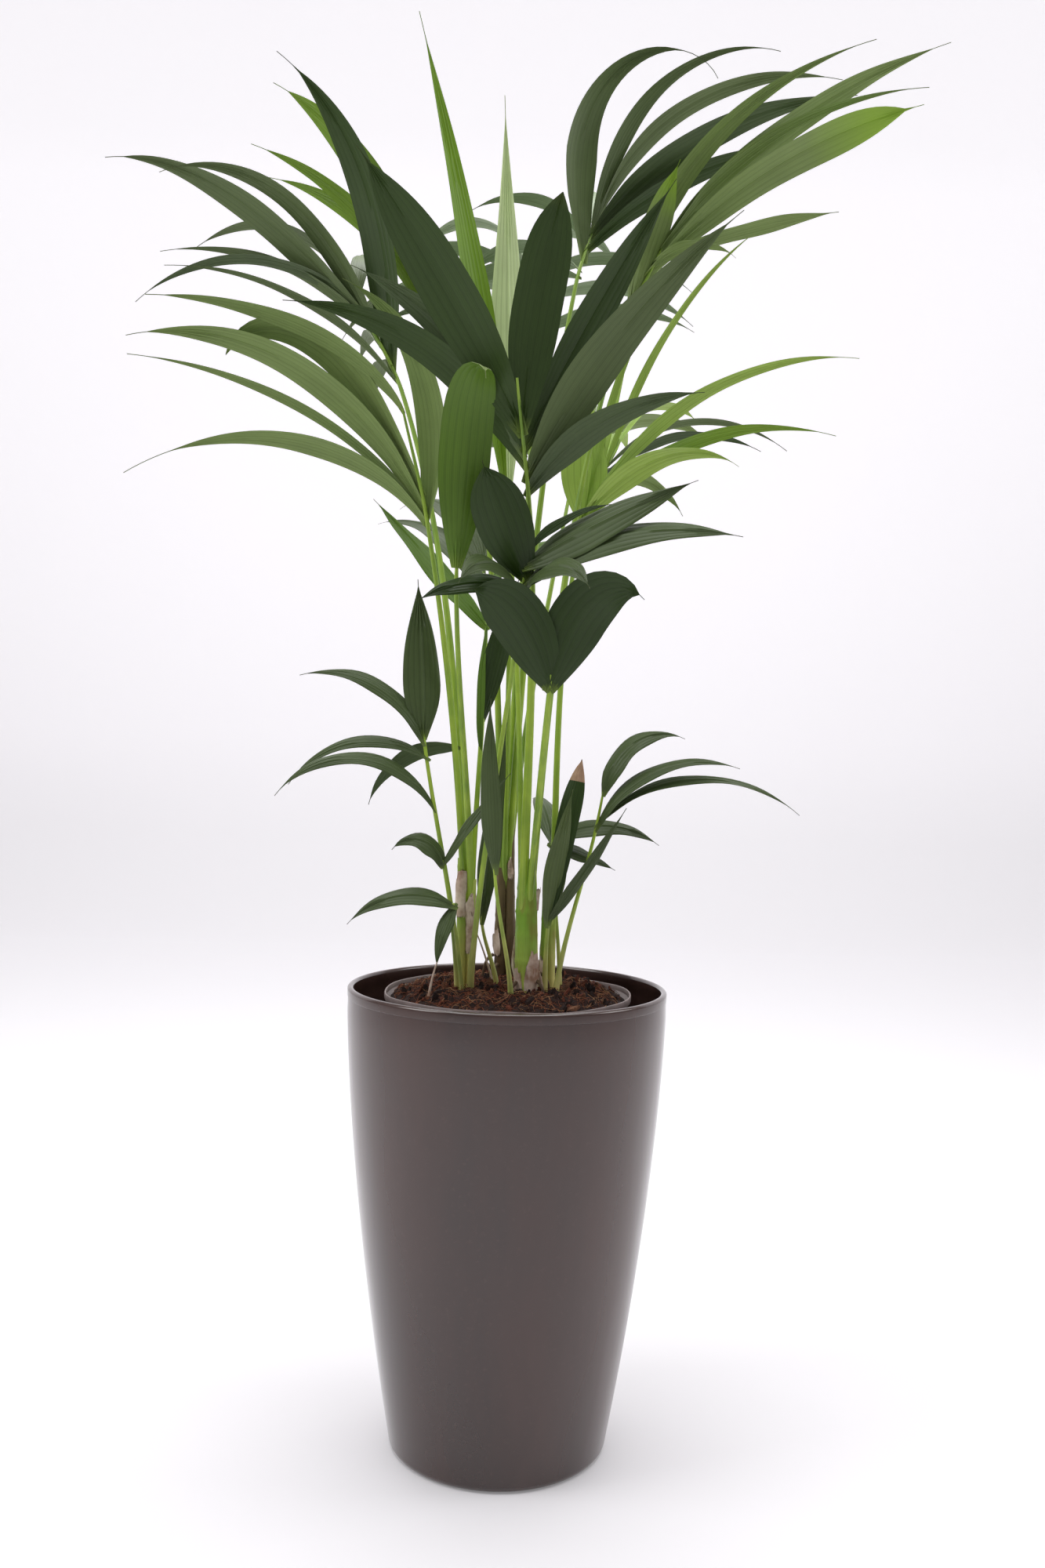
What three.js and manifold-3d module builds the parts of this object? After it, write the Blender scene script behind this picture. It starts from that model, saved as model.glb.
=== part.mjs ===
// A kentia palm: a clump of young stems in a nursery pot, stood inside a tall tapered planter.
// Millimetres, +Z up, +X to the right and +Y to the back. The origin is the centre of the
// planter's flat underside.
import * as THREE from 'three';
import { mergeVertices } from 'three/addons/utils/BufferGeometryUtils.js';
import Module from 'manifold-3d';

const wasm = await Module();
wasm.setup();

// ---- driving dimensions -------------------------------------------------------------------
const GAP = 0.3; // between touching pieces

const PLANTER = {
  height: 576,
  rimRadius: 201,
  footRadius: 135.5,
  swell: 1.6, // how soon the side swells out above the foot
  wall: 4.5,
  floor: 6,
  footRound: 11, // radius of the rounded bottom edge
  lipWidth: 8,
  lipDepth: 12,
  lipFoot: 18, // how far below the rim the wall is at its own thickness again
  rings: [90, 190, 310, 440], // heights of the facets' edges
  facets: 40,
};

const NURSERY_POT = {
  rimRadius: 155.5,
  footRadius: 118,
  top: 569,
  height: 270,
  wall: 2.5,
  lipWidth: 5,
  facets: 36,
};
const RISER = { mouthRadius: 118, baseRadius: 102, wall: 3, facets: 28 };
const SOIL = { crown: 577, crownRadius: 93, edge: 561, shoulder: 9, skirt: 12, facets: 30 };

// Where each stem stands on the soil, its radius at the foot and at its cut top, and its lean.
const STEMS = {
  left: { foot: [-50, -28], top: [-52, -28, 690], footRadius: 10, topRadius: 11 },
  centre: { foot: [22, -52], top: [20, -50, 672], footRadius: 15, topRadius: 13 },
  right: { foot: [49, -26], top: [50, -26, 662], footRadius: 10, topRadius: 10 },
  back: { foot: [-4, 68], top: [-8, 68, 728], footRadius: 14, topRadius: 12 },
};
const STEM_FLARE = 1.18; // how much wider a stem is where it meets the soil
const STEM_SIDES = 10;
const STEM_STEPS = 4;

const PETIOLE_SIDES = 5;
const PETIOLE_STEPS = 5; // along the bare petiole
const RACHIS_STEPS = 2; // along the part that carries leaflets
const TIP_RADIUS = 1.4; // of a rachis at its far end
const TAPER = 1.4; // how late along it a stalk thins

const LEAF_STEPS = [3, 4, 5]; // along a short, a middling and a long leaflet
const LEAF_LENGTHS = [150, 330]; // where a leaflet stops being short, and starts being long
const LEAF_SINK = 7; // how far a leaflet's root runs back into its rachis
const LEAF_ROOT = 0.2; // width at the root, as a share of the widest
const LEAF_SHAPE = { late: 1, peak: 0.38, blunt: 1.8 };
const LEAF_THICKNESS = 0.011; // share of the length
const LEAF_THINNEST = 2;
const FACING = 2; // how strongly a blade turns to the side its frond faces

// ---- the fronds ---------------------------------------------------------------------------
// foot: where the petiole starts, on a stem's cut top or on the soil.
// neck: the lowest leaflet's place. crest: the end of the rachis. radius: the petiole's at its foot.
// face: the way the upper sides of the leaflets look, as a heading and a height in degrees.
// A leaflet is [at, heading, lean, length, turn, width, late, peak, blunt]: it leaves the rachis at
// `at` (0 is the neck, 1 the crest) along a heading (0 is +X, 90 is +Y) and a lean from the
// vertical, and leans `turn` degrees more by its tip. LEAF_SHAPE gives the last three where a row
// leaves them out: a `late` above 1 keeps the turn for the outer end, `peak` is where the blade is
// widest, and a high `blunt` rounds its end.
const FRONDS = [
  {
    name: 'frond_front_tall', stem: 'centre', foot: [15, -57], neck: [17, -120, 1109],
    crest: [-4, -190, 1288], radius: 6, face: [90, 20],
    leaflets: [
      [0.70, 205, 30, 346, 12, 64, 1, 0.5, 2.6],
      [0.72, -60, 8, 282, 118, 54, 5, 0.5, 3],
      [0.60, 8, 24, 382, 8, 48, 1, 0.45, 1.9],
      [0.42, -20, 27, 375, 28, 56],
      [0.34, -25, 33, 215, 42, 38],
      [0.50, 174, 25, 366, 62, 44],
      [0.57, 168, 22, 318, 42, 44],
    ],
  },
  {
    name: 'frond_left_pale', stem: 'left', foot: [-59, -32], neck: [-108, -80, 1139],
    crest: [-139, -110, 1272], radius: 4.6, face: [90, 22],
    leaflets: [
      [1.00, 184, 30, 352, 54, 24, 0.7],
      [0.12, 190, 21, 436, 86, 38, 1.1],
      [0.30, 186, 18, 350, 112, 44, 1.5],
      [0.06, 178, 35, 430, 50, 15, 0.8],
      [0.00, 188, 29, 395, 92, 25, 0.8, 0.45, 1.2],
      [0.05, 182, -5, 330, 70, 36, 1.7],
      [-2.50, 181, 80, 140, 86, 26],
    ],
  },
  {
    name: 'frond_left_folded', stem: 'left', foot: [-45, -33], neck: [-70, -128, 1070],
    crest: [-69, -132, 1100], radius: 4.4, face: [-90, 20],
    leaflets: [
      [0.60, -72, 11, 262, 165, 60, 6, 0.5, 4],
    ],
  },
  {
    name: 'frond_left_high', stem: 'left', foot: [-54, -20], neck: [-156, 60, 1337],
    crest: [-235, 80, 1482], radius: 5, face: [90, 40],
    leaflets: [
      [0.20, 195, 6, 436, 52, 52, 2.2],
      [0.70, 184, 39, 400, 46, 48, 1.3],
      [0.45, 190, 10, 378, 92, 44, 1.1],
      [0.65, 178, 36, 346, 98, 24],
      [0.50, 172, 36, 340, 60, 18],
      [0.25, 145, 56, 250, 70, 22],
      [0.05, 190, 38, 345, 60, 14],
      [1.00, 150, 28, 315, 84, 22],
      [0.85, 92, 24, 280, 80, 26],
      [0.40, 104, 50, 280, 56, 26],
    ],
  },
  {
    name: 'frond_left_top', stem: 'back', foot: [-16, 64], neck: [-65, 50, 1296], crest: [-110, 80, 1415],
    radius: 4.6, face: [90, 30],
    leaflets: [
      [0.70, 165, 19, 480, 30, 50, 2.5],
      [0.95, 168, 20, 405, 48, 33],
      [1.00, 158, 22, 385, 56, 36],
      [0.90, 150, 26, 385, 98, 22],
      [0.50, 120, 36, 330, 60, 30],
      [0.30, 95, 40, 300, 60, 30],
    ],
  },
  {
    name: 'frond_centre_low', stem: null, foot: [-40, -46], neck: [9, -150, 1064],
    crest: [12, -158, 1100], radius: 3.6, face: [-90, 10],
    leaflets: [
      [0.20, 212, 31, 138, -10, 66, 1, 0.52, 3.2],
      [0.55, -15, 59, 216, 12, 52],
      [0.00, -20, 44, 265, 60, 44, 0.7],
      [-0.30, -50, 34, 132, 112, 42],
      [-0.20, 205, 74, 136, 50, 32],
      [-0.50, 235, 26, 142, 120, 40],
      [1.00, -5, 35, 115, 50, 14],
    ],
  },
  {
    name: 'frond_front_pair', stem: 'centre', foot: [28, -57], neck: [42, -150, 944],
    crest: [45, -158, 1006], radius: 4.2, face: [-90, 30],
    leaflets: [
      [0.00, 210, 26, 160, 70, 66, 2.5, 0.55, 3],
      [0.00, -25, 20, 178, 122, 68, 3, 0.5, 2.8],
    ],
  },
  {
    name: 'frond_right_new', stem: 'right', foot: [55, -28], neck: [83, 20, 1168], crest: [127, 50, 1281],
    radius: 4.4, face: [90, 35],
    leaflets: [
      [0.00, 100, 3, 190, 12, 60],
      [0.00, 10, 10, 395, 32, 13, 2],
      [0.45, -5, 20, 395, 36, 13, 2],
      [0.10, 30, 12, 215, 8, 20],
      [0.15, -10, 33, 402, 65, 22, 1.3],
      [0.00, -25, 40, 350, 70, 24],
      [0.05, -38, 48, 245, 80, 36, 1.5],
      [0.60, 20, 36, 300, 84, 14],
      [0.50, 35, 45, 310, 58, 20],
      [0.90, 60, 40, 300, 60, 26],
      [0.70, 80, 44, 280, 60, 26],
    ],
  },
  {
    name: 'frond_right_high', stem: 'back', foot: [0, 64], neck: [68, 90, 1495], crest: [95, 120, 1595],
    radius: 4.8, face: [90, 40],
    leaflets: [
      [0.35, -4, -9, 405, 140, 48, 1.85, 0.34, 1.1],
      [0.75, -8, 12, 373, 88, 36, 1.6, 0.34, 1.3],
      [0.95, 8, 18, 440, 78, 44],
      [0.45, -2, 41, 375, 50, 32],
      [0.70, -12, 40, 395, 53, 34],
      [0.90, 60, 34, 340, 70, 28],
      [0.60, 95, 40, 320, 74, 28],
      [0.20, 130, 44, 300, 70, 28],
      [0.10, 60, 50, 300, 70, 28],
    ],
  },
  {
    name: 'frond_right_far', stem: 'centre', foot: [28, -44], neck: [121, 0, 1395], crest: [172, 0, 1509],
    radius: 5, face: [90, 40],
    leaflets: [
      [0.35, -5, 10, 455, 62, 42, 0.85, 0.36, 1.3],
      [1.00, 3, 34, 462, 34, 40],
      [0.90, -5, 30, 405, 54, 36],
      [0.72, -8, 41, 386, 36, 56, 1, 0.65, 2.6],
      [0.85, -18, 67, 232, 28, 26, 1, 0.45, 2.2],
      [0.80, -45, 60, 140, 76, 20],
      [0.40, 75, 40, 300, 60, 32],
    ],
  },
  {
    name: 'spear_left', stem: 'centre', foot: [13, -43], neck: [-16, -10, 1185], crest: [-24, -10, 1230],
    radius: 4, face: [-90, 0],
    leaflets: [
      [0.50, 182, 8, 608, 7, 36],
    ],
  },
  {
    name: 'spear_centre', stem: 'back', foot: [-8, 58], neck: [-12, 40, 1191], crest: [-15, 40, 1240],
    radius: 4, face: [-90, 0],
    leaflets: [
      [0.50, 180, 1, 500, 2, 58, 1, 0.45, 1.15],
    ],
  },
  {
    name: 'frond_back_high', stem: 'back', foot: [-6, 76], neck: [15, 170, 1436], crest: [7, 260, 1580],
    radius: 4.8, face: [90, 50],
    leaflets: [
      [1.00, 130, 30, 330, 80, 32],
      [1.00, 60, 32, 330, 80, 32],
      [0.80, 165, 44, 280, 80, 28],
      [0.75, 20, 44, 280, 80, 28],
      [0.50, 150, 50, 320, 66, 32],
      [0.45, 35, 50, 320, 66, 32],
      [0.15, 170, 50, 240, 70, 28],
      [0.10, 5, 50, 240, 70, 28],
      [1.00, 95, 40, 320, 70, 32],
    ],
  },
  {
    name: 'frond_back_left', stem: 'left', foot: [-44, -22], neck: [-40, 70, 1036],
    crest: [-50, 150, 1130], radius: 3.6, face: [-90, 40],
    leaflets: [
      [0.00, 172, 40, 228, 6, 44],
      [0.50, 130, 34, 300, 60, 40],
      [0.90, 120, 30, 320, 70, 40],
      [1.00, 80, 34, 320, 66, 40],
      [0.60, 50, 44, 260, 50, 34],
      [-1.85, -30, 12, 186, 7, 32, 1, 0.5, 2],
      [-2.40, 184, 4, 178, -12, 13],
    ],
  },
  {
    name: 'frond_back_right', stem: 'back', foot: [2, 72], neck: [66, 140, 1217], crest: [87, 220, 1316],
    radius: 4, face: [90, 40],
    leaflets: [
      [0.10, 10, 40, 190, 112, 34],
      [0.60, 40, 36, 300, 74, 36],
      [0.90, 84, 22, 320, 84, 36],
      [1.00, 125, 34, 300, 70, 34],
      [0.40, 150, 44, 240, 66, 32],
    ],
  },
  {
    name: 'frond_small_left', stem: null, foot: [-59, -50], neck: [-108, -60, 881],
    crest: [-110, -60, 896], radius: 3.4, face: [-90, 20],
    leaflets: [
      [0.50, 150, 2, 190, 4, 48],
      [0.00, 188, 17, 186, 90, 26],
      [-1.30, 182, 54, 190, 94, 20],
      [-5.40, 200, 26, 232, 118, 24],
    ],
  },
  {
    name: 'frond_small_left_low', stem: null, foot: [-68, -58], neck: [-80, -69, 729],
    crest: [-82, -71, 737], radius: 2.4, face: [-90, 30],
    leaflets: [
      [0.50, 188, 10, 80, 135, 32, 1.2],
      [0.50, -12, 30, 138, 12, 18],
    ],
  },
  {
    name: 'frond_small_left_foot', stem: null, foot: [-58, -68], neck: [-67, -75, 680],
    crest: [-67, -76, 686], radius: 2.2, face: [-90, 30],
    leaflets: [
      [0.50, 186, 58, 140, 82, 30],
      [0.00, 220, 140, 76, 40, 20],
    ],
  },
  {
    name: 'frond_small_middle', stem: null, foot: [5, -86], neck: [-17, -124, 728],
    crest: [-17, -125, 736], radius: 2.6, face: [-90, 0],
    leaflets: [
      [0.50, 20, -8, 200, 10, 27],
    ],
  },
  {
    name: 'frond_small_middle_back', stem: null, foot: [-14, -4], neck: [-34, -10, 656],
    crest: [-34, -10, 664], radius: 2.6, face: [-90, 0],
    leaflets: [
      [0.50, 10, 4, 250, 4, 30],
    ],
  },
  {
    name: 'frond_small_right_base', stem: null, foot: [46, -50], neck: [48, -68, 660],
    crest: [49, -69, 668], radius: 3, face: [-90, 10],
    leaflets: [
      [0.50, -10, 6, 165, 6, 30],
      [0.60, -8, 36, 168, -6, 16],
      [0.90, 30, 11, 210, 2, 28],
    ],
  },
  {
    name: 'frond_small_right', stem: null, foot: [60, -50], neck: [105, -44, 780], crest: [113, -40, 824],
    radius: 3, face: [-90, 40],
    leaflets: [
      [1.00, -4, 10, 138, 106, 38, 1.4],
      [0.00, -10, 20, 208, 90, 28],
      [0.10, -8, 39, 272, 92, 20],
    ],
  },
  {
    name: 'frond_small_right_low', stem: null, foot: [66, -10], neck: [53, -8, 752], crest: [53, -8, 762],
    radius: 2.4, face: [-90, 40],
    leaflets: [
      [0.90, -8, 52, 142, 75, 36],
      [0.30, -6, 100, 85, 20, 28],
      [0.80, 100, 40, 160, 60, 30],
    ],
  },
];

// ---- materials ----------------------------------------------------------------------------
const COLOURS = {
  planter: [0x4a4544, 0.18],
  nurseryPot: [0x6b6e70, 0.5],
  riser: [0x1d1d1e, 0.6],
  soil: [0x3a2018, 0.95],
  stem: [0x8f9a4c, 0.6],
  frond: [0x3f5a30, 0.45],
};

function material(name) {
  const [color, roughness] = COLOURS[name];
  return new THREE.MeshStandardMaterial({ color, roughness, metalness: 0 });
}

// ---- closed solids ------------------------------------------------------------------------
// Merges a geometry's shared corners and turns it into a closed solid with its faces outward.
function solidOf(geometry) {
  geometry.deleteAttribute('normal');
  geometry.deleteAttribute('uv');
  const merged = mergeVertices(geometry, 1e-4);
  const corners = merged.attributes.position.array;
  const triangles = [];
  for (let i = 0; i < merged.index.count; i += 3) {
    const [a, b, c] = [0, 1, 2].map((k) => merged.index.getX(i + k));
    if (a !== b && b !== c && c !== a) triangles.push(a, b, c);
  }
  if (volumeOf(corners, triangles) < 0) triangles.reverse();
  const mesh = new wasm.Mesh({
    numProp: 3,
    vertProperties: Float32Array.from(corners),
    triVerts: Uint32Array.from(triangles),
  });
  return new wasm.Manifold(mesh);
}

function volumeOf(corners, triangles) {
  const at = (i) => new THREE.Vector3().fromArray(corners, 3 * i);
  let sum = 0;
  for (let i = 0; i < triangles.length; i += 3) {
    const [a, b, c] = [at(triangles[i]), at(triangles[i + 1]), at(triangles[i + 2])];
    sum += a.dot(b.cross(c)) / 6;
  }
  return sum;
}

// The outer skin of a fused solid, without the small hollows sealed between crossing blades.
function outerShell(solid) {
  return solid.decompose().reduce((best, shell) => (shell.volume() > best.volume() ? shell : best));
}

function geometryOf(solid) {
  const { vertProperties, triVerts } = solid.getMesh();
  const geometry = new THREE.BufferGeometry();
  geometry.setAttribute('position', new THREE.BufferAttribute(vertProperties, 3));
  geometry.setIndex(new THREE.BufferAttribute(triVerts, 1));
  return geometry;
}

function piece(name, solid, colour) {
  const mesh = new THREE.Mesh(geometryOf(solid), material(colour));
  mesh.name = name;
  return mesh;
}

// Turns a profile of [radius, height] points, from axis to axis, about the Z axis.
function turned(profile, facets) {
  const points = profile.map(([r, z]) => new THREE.Vector2(r, z));
  const geometry = new THREE.LatheGeometry(points, facets);
  geometry.rotateX(Math.PI / 2);
  return solidOf(geometry);
}

// Bends a unit cylinder: place(u, v, t) gives the point for a spot (u, v) of the round section
// at a share t of the length.
function bent(sides, steps, place) {
  const geometry = new THREE.CylinderGeometry(1, 1, 1, sides, steps);
  const spots = geometry.attributes.position;
  for (let i = 0; i < spots.count; i += 1) {
    const point = place(spots.getX(i), spots.getZ(i), spots.getY(i) + 0.5);
    spots.setXYZ(i, point.x, point.y, point.z);
  }
  return solidOf(geometry);
}

// ---- planter, nursery pot, riser and soil -------------------------------------------------
function planterRadius(z) {
  const above = 1 - z / PLANTER.height;
  return PLANTER.footRadius + (PLANTER.rimRadius - PLANTER.footRadius) * (1 - above ** PLANTER.swell);
}

function planter() {
  const p = PLANTER;
  const profile = [[0, 0]];
  for (const turn of [0, 30, 60, 90]) {
    const a = THREE.MathUtils.degToRad(turn);
    const z = p.footRound * (1 - Math.cos(a));
    profile.push([planterRadius(p.footRound) - p.footRound * (1 - Math.sin(a)), z]);
  }
  p.rings.forEach((z) => profile.push([planterRadius(z), z]));
  const lip = p.lipWidth / 2;
  for (const turn of [0, 60, 120, 180]) {
    const a = THREE.MathUtils.degToRad(turn);
    profile.push([p.rimRadius - lip + lip * Math.cos(a), p.height - lip + lip * Math.sin(a)]);
  }
  profile.push([p.rimRadius - p.lipWidth, p.height - p.lipDepth]);
  profile.push([planterRadius(p.height - p.lipFoot) - p.wall, p.height - p.lipFoot]);
  [...p.rings].reverse().forEach((z) => profile.push([planterRadius(z) - p.wall, z]));
  profile.push([planterRadius(p.footRound) - p.wall, p.footRound]);
  profile.push([planterRadius(p.footRound) - p.footRound, p.floor]);
  profile.push([0, p.floor]);
  return turned(profile, p.facets);
}

function nurseryPot() {
  const n = NURSERY_POT;
  const foot = n.top - n.height;
  const under = n.lipWidth * 2;
  const neck = n.rimRadius - n.lipWidth;
  return turned([
    [0, foot],
    [n.footRadius, foot],
    [neck, n.top - under],
    [n.rimRadius, n.top - under + 2],
    [n.rimRadius, n.top - 1],
    [n.rimRadius - 1, n.top],
    [neck - 1, n.top],
    [neck - n.wall, n.top - under],
    [n.footRadius - n.wall, foot + n.wall],
    [0, foot + n.wall],
  ], n.facets);
}

// An upturned pot on the planter's floor, which carries the nursery pot.
function riser() {
  const r = RISER;
  const low = PLANTER.floor + GAP;
  const high = NURSERY_POT.top - NURSERY_POT.height - GAP;
  return turned([
    [0, high],
    [r.baseRadius, high],
    [r.mouthRadius, low],
    [r.mouthRadius - r.wall, low],
    [r.baseRadius - r.wall, high - r.wall],
    [0, high - r.wall],
  ], r.facets);
}

function soil() {
  const n = NURSERY_POT;
  const foot = n.top - n.height + n.wall + GAP;
  const wallAt = (z) => {
    const share = (z - (foot - n.wall)) / (n.height - 2 * n.lipWidth);
    return THREE.MathUtils.lerp(n.footRadius, n.rimRadius - n.lipWidth, share) - n.wall - 3 * GAP;
  };
  return turned([
    [0, foot],
    [wallAt(foot) - GAP, foot],
    [wallAt(SOIL.edge - SOIL.skirt), SOIL.edge - SOIL.skirt],
    [wallAt(SOIL.edge - SOIL.skirt), SOIL.edge],
    [(SOIL.crownRadius + wallAt(SOIL.edge)) / 2, SOIL.edge + SOIL.shoulder],
    [SOIL.crownRadius, SOIL.crown],
    [0, SOIL.crown],
  ], SOIL.facets);
}

// ---- stems --------------------------------------------------------------------------------
function stem({ foot, top, footRadius, topRadius }) {
  const low = new THREE.Vector3(...foot, SOIL.crown + GAP);
  const high = new THREE.Vector3(...top);
  return bent(STEM_SIDES, STEM_STEPS, (u, v, t) => {
    const centre = low.clone().lerp(high, t);
    const flare = 1 + (STEM_FLARE - 1) * Math.max(0, 1 - STEM_STEPS * t);
    const radius = THREE.MathUtils.lerp(footRadius, topRadius, t) * flare;
    return centre.add(new THREE.Vector3(u * radius, v * radius, 0));
  });
}

// ---- fronds -------------------------------------------------------------------------------
function heading(degrees, lean) {
  const around = THREE.MathUtils.degToRad(degrees);
  const down = THREE.MathUtils.degToRad(lean);
  const flat = Math.sin(down);
  return new THREE.Vector3(Math.cos(around) * flat, Math.sin(around) * flat, Math.cos(down));
}

function hermite(from, to, leave, arrive, t) {
  const [a, b] = [1 - t, t];
  return new THREE.Vector3()
    .addScaledVector(from, a * a * (1 + 2 * t))
    .addScaledVector(to, b * b * (3 - 2 * t))
    .addScaledVector(leave, a * a * b)
    .addScaledVector(arrive, -a * b * b);
}

// The line of a frond from its foot (-1) by its neck (0) to its crest (1).
function rachisLine(frond) {
  const footHeight = (frond.stem ? STEMS[frond.stem].top[2] : SOIL.crown) + GAP;
  const foot = new THREE.Vector3(...frond.foot, footHeight);
  const neck = new THREE.Vector3(...frond.neck);
  const crest = new THREE.Vector3(...frond.crest);
  const rise = neck.clone().sub(foot);
  const run = crest.clone().sub(neck);
  const atNeck = rise.clone().normalize().add(run.clone().normalize()).normalize();
  const atFoot = rise.clone().lerp(new THREE.Vector3(0, 0, rise.length()), 0.5);
  return (s) => {
    if (s > 0) return hermite(neck, crest, atNeck.clone().multiplyScalar(run.length()), run, Math.min(s, 1));
    return hermite(foot, neck, atFoot, atNeck.clone().multiplyScalar(rise.length()), s + 1);
  };
}

// How far along rachisLine a leaflet leaves it. Places below the neck are counted in rachis lengths.
function placeOnLine(frond, at) {
  if (at >= 0) return at;
  const rise = frond.neck[2] - SOIL.crown;
  const run = frond.crest[2] - frond.neck[2];
  return (at * run) / rise;
}

function petiole(frond) {
  const line = rachisLine(frond);
  const steps = PETIOLE_STEPS + RACHIS_STEPS;
  const turn = PETIOLE_STEPS / steps;
  return bent(PETIOLE_SIDES, steps, (u, v, t) => {
    const s = t < turn ? t / turn - 1 : (t - turn) / (1 - turn);
    const ahead = line(Math.min(s + 0.02, 1)).sub(line(Math.max(s - 0.02, -1))).normalize();
    const radius = THREE.MathUtils.lerp(frond.radius, TIP_RADIUS, Math.max(0, t) ** TAPER);
    const across = t === 0 ? new THREE.Vector3(1, 0, 0) : new THREE.Vector3(0, 1, 0).cross(ahead).normalize();
    const over = t === 0 ? new THREE.Vector3(0, 1, 0) : ahead.clone().cross(across);
    return line(s).addScaledVector(across, u * radius).addScaledVector(over, v * radius);
  });
}

// Width at a share of the length, as a share of the widest.
function leafWidth(t, peak, blunt) {
  if (t < peak) return LEAF_ROOT + (1 - LEAF_ROOT) * Math.sin((Math.PI / 2) * (t / peak));
  return 1 - ((t - peak) / (1 - peak)) ** blunt;
}

// A leaflet bends in its own upright plane. Its blade is rolled about its length by one angle, so
// that its upper side looks towards `face` at half its length.
function leaflet(root, face, [, headingAngle, lean, length, turn, width, ...shape]) {
  const [late = LEAF_SHAPE.late, peak = LEAF_SHAPE.peak, blunt = LEAF_SHAPE.blunt] = shape;
  const leanAt = (t) => lean + turn * t ** late;
  const along = (t) => heading(headingAngle, leanAt(t));
  const upper = (t) => heading(headingAngle, leanAt(t) - 90);
  const side = heading(headingAngle + 90, 90);
  const steps = LEAF_STEPS[LEAF_LENGTHS.filter((limit) => length > limit).length];
  const slices = 8 * steps;
  const places = [root.clone().addScaledVector(along(0), -LEAF_SINK)];
  for (let i = 0; i < slices; i += 1) {
    const reach = (length + LEAF_SINK) / slices;
    places.push(places[i].clone().addScaledVector(along((i + 0.5) / slices), reach));
  }
  const pull = FACING * (Math.sign(face.dot(upper(0.5))) || 1);
  const roll = Math.atan2(pull * face.dot(side), pull * face.dot(upper(0.5)) + 1);
  const thickness = Math.max(LEAF_THINNEST, length * LEAF_THICKNESS);
  return bent(4, steps, (u, v, t) => {
    const look = side.clone().multiplyScalar(Math.sin(roll)).addScaledVector(upper(t), Math.cos(roll));
    const across = along(t).cross(look);
    const half = leafWidth(t, peak, blunt) / 2;
    return places[Math.round(t * slices)].clone()
      .addScaledVector(across, u * width * half)
      .addScaledVector(look, v * thickness * Math.min(half, 0.5));
  });
}

function frondSolid(frond) {
  const line = rachisLine(frond);
  const face = heading(frond.face[0], 90 - frond.face[1]);
  const leaves = frond.leaflets.map((row) => leaflet(line(placeOnLine(frond, row[0])), face, row));
  const fused = leaves.reduce((whole, leaf) => whole.add(leaf), petiole(frond));
  return outerShell(fused);
}

// ---- the plant in its pot -----------------------------------------------------------------
const group = new THREE.Group();
group.add(piece('planter', planter(), 'planter'));
group.add(piece('riser_pot', riser(), 'riser'));
group.add(piece('nursery_pot', nurseryPot(), 'nurseryPot'));
group.add(piece('soil', soil(), 'soil'));
Object.entries(STEMS).forEach(([name, sizes]) => group.add(piece(`stem_${name}`, stem(sizes), 'stem')));
FRONDS.forEach((frond) => group.add(piece(frond.name, frondSolid(frond), 'frond')));

export default group;
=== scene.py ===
"""A kentia palm in its nursery pot, stood inside a tall glossy planter: the finished look of each piece.

Sizes are millimetres in the tables and metres in the meshes. +Z is up and -Y is the front.
"""
import math
import random

import bpy
from mathutils import Matrix, Vector, noise


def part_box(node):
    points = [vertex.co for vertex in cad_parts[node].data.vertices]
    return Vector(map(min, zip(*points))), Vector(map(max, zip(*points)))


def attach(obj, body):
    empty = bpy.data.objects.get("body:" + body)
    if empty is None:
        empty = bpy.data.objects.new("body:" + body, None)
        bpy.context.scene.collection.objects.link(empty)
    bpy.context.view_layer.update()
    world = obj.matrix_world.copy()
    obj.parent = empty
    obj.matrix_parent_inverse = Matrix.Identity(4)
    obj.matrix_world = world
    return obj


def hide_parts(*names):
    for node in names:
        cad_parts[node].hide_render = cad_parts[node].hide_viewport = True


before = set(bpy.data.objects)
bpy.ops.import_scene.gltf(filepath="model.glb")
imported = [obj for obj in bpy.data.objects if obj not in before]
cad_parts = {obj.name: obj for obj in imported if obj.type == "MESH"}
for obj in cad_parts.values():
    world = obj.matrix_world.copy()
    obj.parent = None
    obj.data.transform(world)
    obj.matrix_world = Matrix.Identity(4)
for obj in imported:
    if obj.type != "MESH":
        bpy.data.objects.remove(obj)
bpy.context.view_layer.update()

bl_info = {
    "name": "Potted Kentia Palm",
    "version": (1, 0, 0),
    "blender": (4, 5, 0),
    "location": "3D View > Sidebar > Kentia",
    "description": "Models a potted kentia palm leaf by leaf, with its soil, pots and a plain studio",
    "category": "Object",
}

MM = 0.001
BODY = "root"
SEED = 11


def node_range(name):
    """Lowest height, highest height and greatest radius of a frame node about the Z axis."""
    low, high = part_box(name)
    return low.z, high.z, max(high.x, high.y)


# ---- the plant's own sizes ------------------------------------------------------------------
SOIL_CROWN = 577
SOIL_CROWN_RADIUS = 93
SOIL_EDGE = 561
SOIL_RADIUS = 147
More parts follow.
